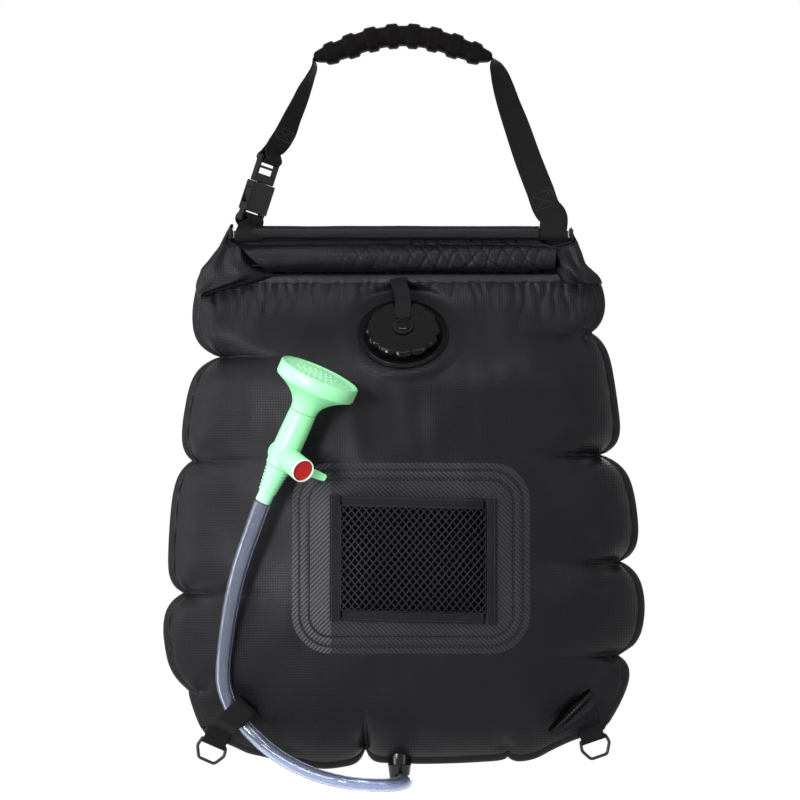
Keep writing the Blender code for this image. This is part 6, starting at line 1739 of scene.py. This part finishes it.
def make_corners():
    left, right = corner_frame(LEFT_RING_SHARE), corner_frame(RIGHT_RING_SHARE)
    rows = strap_rows(LEFT_STRAP_RISE_SHARES, LEFT_ANCHOR_SHARES, left, HOSE_CREST, 1.0)
    make_corner_strap("corner_strap_hose", "corner_strap_left", rows, WEBBING_LOOK)
    spread = RIGHT_STRAP_SPREAD_SHARE
    rows = strap_rows(RIGHT_STRAP_RISE_SHARES, RIGHT_ANCHOR_SHARES, right, STRAP_CREST, spread)
    make_corner_strap("corner_strap_plain", "corner_strap_right", rows, SOFT_WEBBING_LOOK)
    make_slit_shade()
    shift = Matrix.Translation((0.0, BAG_SETBACK, 0.0))
    knots = [(x * RING_WIDTH, z * RING_LENGTH) for x, z in RING_SHARES]
    bent = fillet(knots + knots[:1], RING_BEND)[:-1]
    line = even_line([(x, 0.0, z) for x, z in bent + bent[:1]], 120)[:-1]
    for side, at in (("left", left), ("right", right)):
        world = [tuple((shift @ at) @ Vector(p)) for p in line]
        obj = closed_tube(f"wire_ring_{side}", world, RING_WIRE_RADIUS * 1.1, STEEL_LOOK)
        place(obj, f"ring_{side}", "steel_wire", f"d_ring_{side}")


def closed_tube(name, line, radius, look, steps=16):
    """A wire bent into a closed ring that lies in one plane."""
    line = np.array(line)
    ahead = unit(np.roll(line, -1, axis=0) - np.roll(line, 1, axis=0))
    middle = line.mean(axis=0)
    plane = unit(np.cross(line[0] - middle, line[len(line) // 4] - middle))
    turns = full_turn(steps)[:, None]
    sides = np.cross(ahead, plane)
    points = [p + (s * np.cos(turns) + plane * np.sin(turns)) * radius for p, s in zip(line, sides)]
    faces = grid_faces(len(line), steps, True, ring=True) + joining_faces((len(line) - 1) * steps, steps)
    return clean(mesh_piece(name, np.concatenate(points), faces, look))


# The outlet spout

SPOUT_ACROSS = -0.0032
SPOUT_RADIUS = 0.0102
SPOUT_TIP_RADIUS = 0.0086
SPOUT_DROP = 0.0157
OUTLET_RADIUS = 0.0070
OUTLET_LENGTH = 0.0150
OUTLET_TURN = math.radians(8.0)


def make_spout():
    """The outlet: a glossy tapered barrel under the seam, and the barb that the hose is pushed on."""
    at = Vector((SPOUT_ACROSS, BAG_SETBACK, float(bottom_edge(np.array(SPOUT_ACROSS)))))
    wide, tip, low = SPOUT_RADIUS, SPOUT_TIP_RADIUS, -SPOUT_DROP
    profile = [(0.0, 0.0165), (0.0128, 0.0165), (0.0135, 0.0155), (0.0130, 0.0142), (wide, 0.0140)]
    profile += [(wide, -0.0010), (wide + 0.0007, -0.0020), (wide, -0.0034)]
    profile += [(tip + 0.0003, low + 0.002), (tip, low)]
    profile += [(tip * math.cos(t), low - tip * math.sin(t)) for t in np.radians(np.linspace(10.0, 90.0, 9))]
    ride = ("bag", "black_plastic", "outlet_spout")
    lathe("spout_barrel", profile, GLOSS_LOOK, Matrix.Translation(at), ride, 72)
    way = Vector((math.sin(OUTLET_TURN), -math.cos(OUTLET_TURN), 0.0))
    barb = facing(way, at + Vector((0.0, 0.0, low)), (0.0, 0.0, 1.0))
    profile = [(0.0, OUTLET_LENGTH), (0.0060, OUTLET_LENGTH), (OUTLET_RADIUS, OUTLET_LENGTH - 0.0012)]
    profile += [(OUTLET_RADIUS, 0.004), (OUTLET_RADIUS + 0.0004, 0.003), (OUTLET_RADIUS, 0.0), (0.0, 0.0)]
    lathe("spout_barb", profile, GLOSS_LOOK, barb, ride, 48)


# The shower head, in its own frame: +Z along the stem to the rose, +X along the valve barrel

HEAD_TAIL = (-0.1254, -0.0835, -0.4069)
HEAD_AXIS = (0.405, -0.175, 0.897)
BARREL_AXIS = (0.435, -0.788, -0.435)
TAIL_TO_BARREL = 0.0465
BARREL_TO_FACE = 0.081
ROSE_RADIUS = 0.037
RIM_HEIGHT = 0.013
HEAD_WALL = 0.0022
NECK_DOWN = 0.0375
STEM_RADIUS = 0.0122
STEM_BORE = 0.0048
COUPLING_LENGTH = 0.0348
COUPLING_TOP_RADIUS = 0.0112
COUPLING_TIP_RADIUS = 0.0071
COUPLING_RIBS = 8
BARREL_RADIUS = 0.0108
BARREL_BORE = 0.0088
BARREL_FRONT = 0.038
BARREL_BACK = 0.0115
BUTTON_HEIGHT = 0.004
BUTTON_RADIUS = 0.0094
BUTTON_RECESS = 0.0012
ROSE_RECESS = 0.0012
NOZZLE_RINGS = ((0.0, 1), (0.16, 6), (0.30, 12), (0.47, 18), (0.62, 24), (0.78, 30))
FLARE = 2.2
TAB_LENGTH = 0.0200
TAB_WIDTH = 0.0085
TAB_THICKNESS = 0.003
TAB_BACK = 0.006
TAB_TURN = math.radians(176.0)
PLUNGER_FRONT = BARREL_FRONT - BUTTON_RECESS - BUTTON_HEIGHT - TOUCH


def head_frame():
    """The head's frame: origin where the valve barrel crosses the stem."""
    axis = Vector(HEAD_AXIS).normalized()
    tail = Vector(HEAD_TAIL) + Vector((0.0, BAG_SETBACK, 0.0))
    return facing(axis, tail + axis * TAIL_TO_BARREL, BARREL_AXIS)


def barrel_frame():
    """The valve's frame: +Z along the barrel to the button."""
    at = head_frame()
    return facing(at.col[0].to_3d(), at.translation, at.col[2].to_3d())


def make_funnel():
    """The flared shell and its rounded rim."""
    top, neck = BARREL_TO_FACE, BARREL_TO_FACE - NECK_DOWN
    rim_floor, wall, wide = BARREL_TO_FACE - RIM_HEIGHT, HEAD_WALL, ROSE_RADIUS
    profile = [(wide - wall, top - 0.0004), (wide - wall + 0.0004, top), (wide - 0.0008, top)]
    profile += [(wide, top - 0.0012), (wide, rim_floor + 0.0016), (wide - 0.0009, rim_floor)]
    for share in np.linspace(0.95, 0.04, 24):
        radius = STEM_RADIUS + (wide - 0.0014 - STEM_RADIUS) * share**FLARE
        profile.append((radius, neck + (rim_floor - 0.0004 - neck) * share))
    profile += [(STEM_RADIUS, neck + 0.0002), (STEM_BORE, neck), (STEM_BORE + 0.003, neck + wall)]
    for share in np.linspace(0.1, 0.95, 14):
        radius = STEM_RADIUS - wall + (wide - STEM_RADIUS) * share**FLARE
        profile.append((radius, neck + wall + (rim_floor - neck) * share))
    profile.append((wide - wall, rim_floor + wall))
    ride = ("bag", "mint_plastic", "head_funnel")
    lathe("head_shell", profile, MINT_LOOK, head_frame(), ride, 128, closed=True, sharp=55)


def make_rose():
    """The rose: a plate with a raised dome, and rings of fine holes."""
    at, high, radius = head_frame(), BARREL_TO_FACE - ROSE_RECESS, ROSE_RADIUS - HEAD_WALL - TOUCH
    shares, turns = np.linspace(1.0, 0.0, 90), full_turn(240)
    nozzles = []
    for ring, (share, count) in enumerate(NOZZLE_RINGS):
        around = full_turn(count) + math.pi * (ring % 2) / count
        nozzles += list(zip(share * radius * np.cos(around), share * radius * np.sin(around)))
    nozzles = np.array(nozzles)
    points = []
    for share in shares:
        x, y = share * radius * np.cos(turns), share * radius * np.sin(turns)
        dome = 0.0030 * (1 - smoothstep(share / 0.92)) - 0.0006 * dent(share - 0.90, 0.03)
        away = np.min(np.hypot(x[:, None] - nozzles[:, 0], y[:, None] - nozzles[:, 1]), axis=1)
        lip = 0.0004 * dent(away - 0.0012, 0.0004) - 0.0011 * (1 - smoothstep(away / 0.0009))
        points += [at @ Vector(spot) for spot in zip(x, y, high + dome + lip)]
    base, sides = len(points), len(turns)
    points += [at @ Vector((radius * math.cos(t), radius * math.sin(t), high - 0.002)) for t in turns]
    faces = grid_faces(len(shares), sides, ring=True) + joining_faces(base, sides)
    faces.append(tuple(range(base, base + sides)))
    # the rose face's look is a paler mint than the body's: painted light
    obj = clean(mesh_piece("rose_face", points, faces, ROSE_PAINTED_LIGHT_LOOK), MERGED)
    place(obj, "bag", "mint_plastic", "rose_plate")


def make_stem():
    """The stem's swelling waist, the valve barrel across it, its pale ring and the thumb tab."""
    barrel = barrel_frame()
    ride = ("bag", "mint_plastic", "valve_body")
    top, low = BARREL_TO_FACE - NECK_DOWN - TOUCH, -TAIL_TO_BARREL + COUPLING_LENGTH + TOUCH
    profile = [(0.0, top), (STEM_RADIUS - 0.0005, top), (STEM_RADIUS, top - 0.0006)]
    for share in np.linspace(0.05, 0.95, 14):
        profile.append((STEM_RADIUS + 0.0004 * math.sin(share * math.pi), top + (low - top) * share))
    profile += [(STEM_RADIUS, low + 0.0008), (STEM_RADIUS - 0.0008, low), (0.0, low)]
    lathe("stem_barrel", profile, MINT_LOOK, head_frame(), ride)
    front, back, mouth, wide = BARREL_FRONT, -BARREL_BACK, BUTTON_RADIUS + RUNNING, BARREL_RADIUS
    profile = [(mouth, front), (wide - 0.0004, front), (wide, front - 0.0005), (wide, front - 0.0016)]
    profile.append((mouth, front - 0.0016))
    lathe("barrel_ring", profile, CREAM_LOOK, barrel, ride, closed=True)
    profile = [(BARREL_BORE, front - 0.0125), (mouth, front - 0.0125), (mouth, front - 0.0018)]
    profile += [(wide, front - 0.0018), (wide, back + 0.0016), (wide - 0.0006, back + 0.0004)]
    profile += [(wide - 0.0016, back), (0.0, back), (0.0, back + HEAD_WALL), (BARREL_BORE, back + HEAD_WALL)]
    lathe("valve_barrel", profile, MINT_LOOK, barrel, ride, closed=True)
    make_tab(barrel)


def make_tab(barrel):
    """The tapered thumb tab with its recessed face."""
    turn = barrel @ Matrix.Rotation(TAB_TURN, 4, "Z")
    start, end = BARREL_BORE + TOUCH + 0.0008, BARREL_RADIUS + TAB_LENGTH
    level = BARREL_FRONT - TAB_BACK - TAB_THICKNESS / 2
    columns, rows = 17, 40
    points = []
    for face in (1.0, -1.0):
        for share in np.linspace(0.0, 1.0, rows):
            half = TAB_WIDTH / 2 * (1.0 - 0.22 * share)
            half *= math.sqrt(max(1.0 - max(0.0, (share - 0.90) / 0.13) ** 2, 0.05))
            for u in np.linspace(-1.0, 1.0, columns):
                edge = min((1 - abs(u)) * half, (1 - share) * (end - start))
                z = TAB_THICKNESS / 2 * math.sqrt(max(1 - (1 - min(edge / 0.0011, 1.0)) ** 2, 0.0))
                if face > 0:
                    z -= 0.0006 * smoothstep((edge - 0.0014) / 0.0007) * smoothstep((share - 0.25) / 0.05)
                points.append(turn @ Vector((u * half, start + (end - start) * share, level + face * z)))
    faces = grid_faces(rows, columns)
    faces += [tuple(rows * columns + k for k in quad) for quad in grid_faces(rows, columns, True)]
    obj = clean(mesh_piece("thumb_tab", points, faces, MINT_LOOK), 0.00002)
    place(obj, "bag", "mint_plastic", "valve_body")


def make_coupling():
    """The ribbed nut and its smooth collar on the hose."""
    top, low, ribbed = -TAIL_TO_BARREL + COUPLING_LENGTH, -TAIL_TO_BARREL, COUPLING_LENGTH * 0.72
    wide, tip = COUPLING_TOP_RADIUS, COUPLING_TIP_RADIUS
    profile = [(STEM_BORE, top), (wide - 0.0004, top), (wide, top - 0.0005)]
    for rib in range(COUPLING_RIBS):
        for step, lift in ((0.10, -0.0003), (0.28, 0.0007), (0.62, 0.0007), (0.82, -0.0003)):
            share = (rib + step) / COUPLING_RIBS
            profile.append((wide - 0.0006 - (wide - tip - 0.0010) * share + lift, top - ribbed * share))
    profile += [(tip + 0.0002, top - ribbed), (tip, top - ribbed - 0.001), (tip, low + 0.0006)]
    profile += [(tip - 0.0004, low), (STEM_BORE, low)]
    ride = ("bag", "mint_plastic", "hose_coupling")
    profile = fillet(profile, 0.0003, 2)
    lathe("coupling_nut", profile, TAIL_LOOK, head_frame(), ride, 72, closed=True, sharp=60)


def make_button():
    low, face, wide = PLUNGER_FRONT + TOUCH, PLUNGER_FRONT + TOUCH + BUTTON_HEIGHT, BUTTON_RADIUS
    profile = [(0.0, face - 0.0002), (wide - 0.0030, face - 0.0002), (wide - 0.0022, face)]
    profile += [(wide - 0.0010, face), (wide, face - 0.0010), (wide, low), (0.0, low)]
    ride = ("button", "red_plastic", "valve_button")
    lathe("button_cap", fillet(profile, 0.0003, 3), RED_LOOK, barrel_frame(), ride)


FABRIC_LOOK = fabric_look()
WEBBING_LOOK = webbing_look()
THREAD_LOOK = thread_look()
SOFT_WEBBING_LOOK = webbing_look("soft_webbing", (0.0125, 0.0123, 0.0150))
# painted shade: the near-black look of the sheet laid in the fold's mouth above the right corner strap
SLIT_SHADE_LOOK = rubber_look("painted_fold_shade", (0.0012, 0.0012, 0.0014), 0.02)
BAND_LOOK = fabric_look("weld_band", (0.029, 0.0285, 0.033), 0.00010)
PATCH_LOOK = patch_look()
TAPE_LOOK = webbing_look("binding_tape", (0.0155, 0.0150, 0.0180))
NET_LOOK = plastic_look("net_cord", (0.0120, 0.0120, 0.0140), 0.30, 0.44, shine=0.12)
FLANGE_LOOK = plastic_look("flange_black", (0.0024, 0.0024, 0.0030), 0.14, 0.24, shine=0.07)
CAP_LOOK = plastic_look("cap_black", (0.0018, 0.0018, 0.0022), 0.035, 0.060, 0.000004, 1.6, 0.12, 0.02)
TETHER_LOOK = rubber_look("tether_rubber", (0.0085, 0.0085, 0.0100))
GLOSS_LOOK = plastic_look("spout_black", (0.0045, 0.0045, 0.0055), 0.10, 0.20, shine=0.25)
BUCKLE_LOOK = plastic_look("buckle_black", (0.0030, 0.0030, 0.0038), 0.24, 0.36, wear=1.5, shine=0.12)
MINT_LOOK = plastic_look("mint", (0.29, 0.81, 0.39), 0.30, 0.42, wear=1.04)
# painted light: the rose's mint is a paler copy of the body's, to brighten its recessed face
ROSE_PAINTED_LIGHT_LOOK = plastic_look("mint_rose_painted_light", (0.46, 0.99, 0.58), 0.36, 0.48, wear=1.0)
TAIL_LOOK = plastic_look("mint_tail", (0.34, 0.82, 0.46), 0.30, 0.42, wear=1.04)
CREAM_LOOK = plastic_look("cream", (0.78, 0.90, 0.74), 0.34, 0.46, wear=1.03)
RED_LOOK = plastic_look("button_red", (0.39, 0.012, 0.010), 0.42, 0.56, grain=0.00008, shine=0.2)
STEEL_LOOK = steel_look()
HIDDEN_LOOK = rubber_look("seal_rubber")
ROD_LOOK = plastic_look("rod_black", (0.012, 0.012, 0.013), 0.4, 0.55)


make_camera()
make_hose()
make_world()
make_lights()
make_floor()
make_panel("panel_front", -1, "front_panel")
make_panel("panel_back", 1, "back_panel")
make_roll()
make_neck()
make_shoulder("shoulder_cloth_left", LEFT_SHOULDER_ROWS, "shoulder_fold_left")
make_shoulder("shoulder_cloth_right", RIGHT_SHOULDER_ROWS, "shoulder_fold_right")
make_band("band_front", -1, "seam_band_front")
make_band("band_back", 1, "seam_band_back")
make_grip()
make_handle_webbing()
make_buckle_webbing()
for node in ("buckle_socket", "buckle_plug", "buckle_prong_left", "buckle_prong_right"):
    dress(node, BUCKLE_LOOK, 0.0004)
for node in ("rod_cap_left", "rod_cap_right"):
    dress(node, BUCKLE_LOOK, 0.0003)
make_flange()
make_cap()
make_tether_ring()
make_pin()
make_tether()
make_patch()
make_tapes()
make_net()
make_corners()
make_spout()
make_funnel()
make_rose()
make_stem()
make_coupling()
make_button()
for node in ("cap_gasket", "o_ring_front", "o_ring_rear"):
    dress(node, HIDDEN_LOOK, 0)
for node in ("stiffener_rod", "valve_plunger"):
    dress(node, ROD_LOOK, 0)

bpy.context.scene.view_settings.view_transform = "Standard"
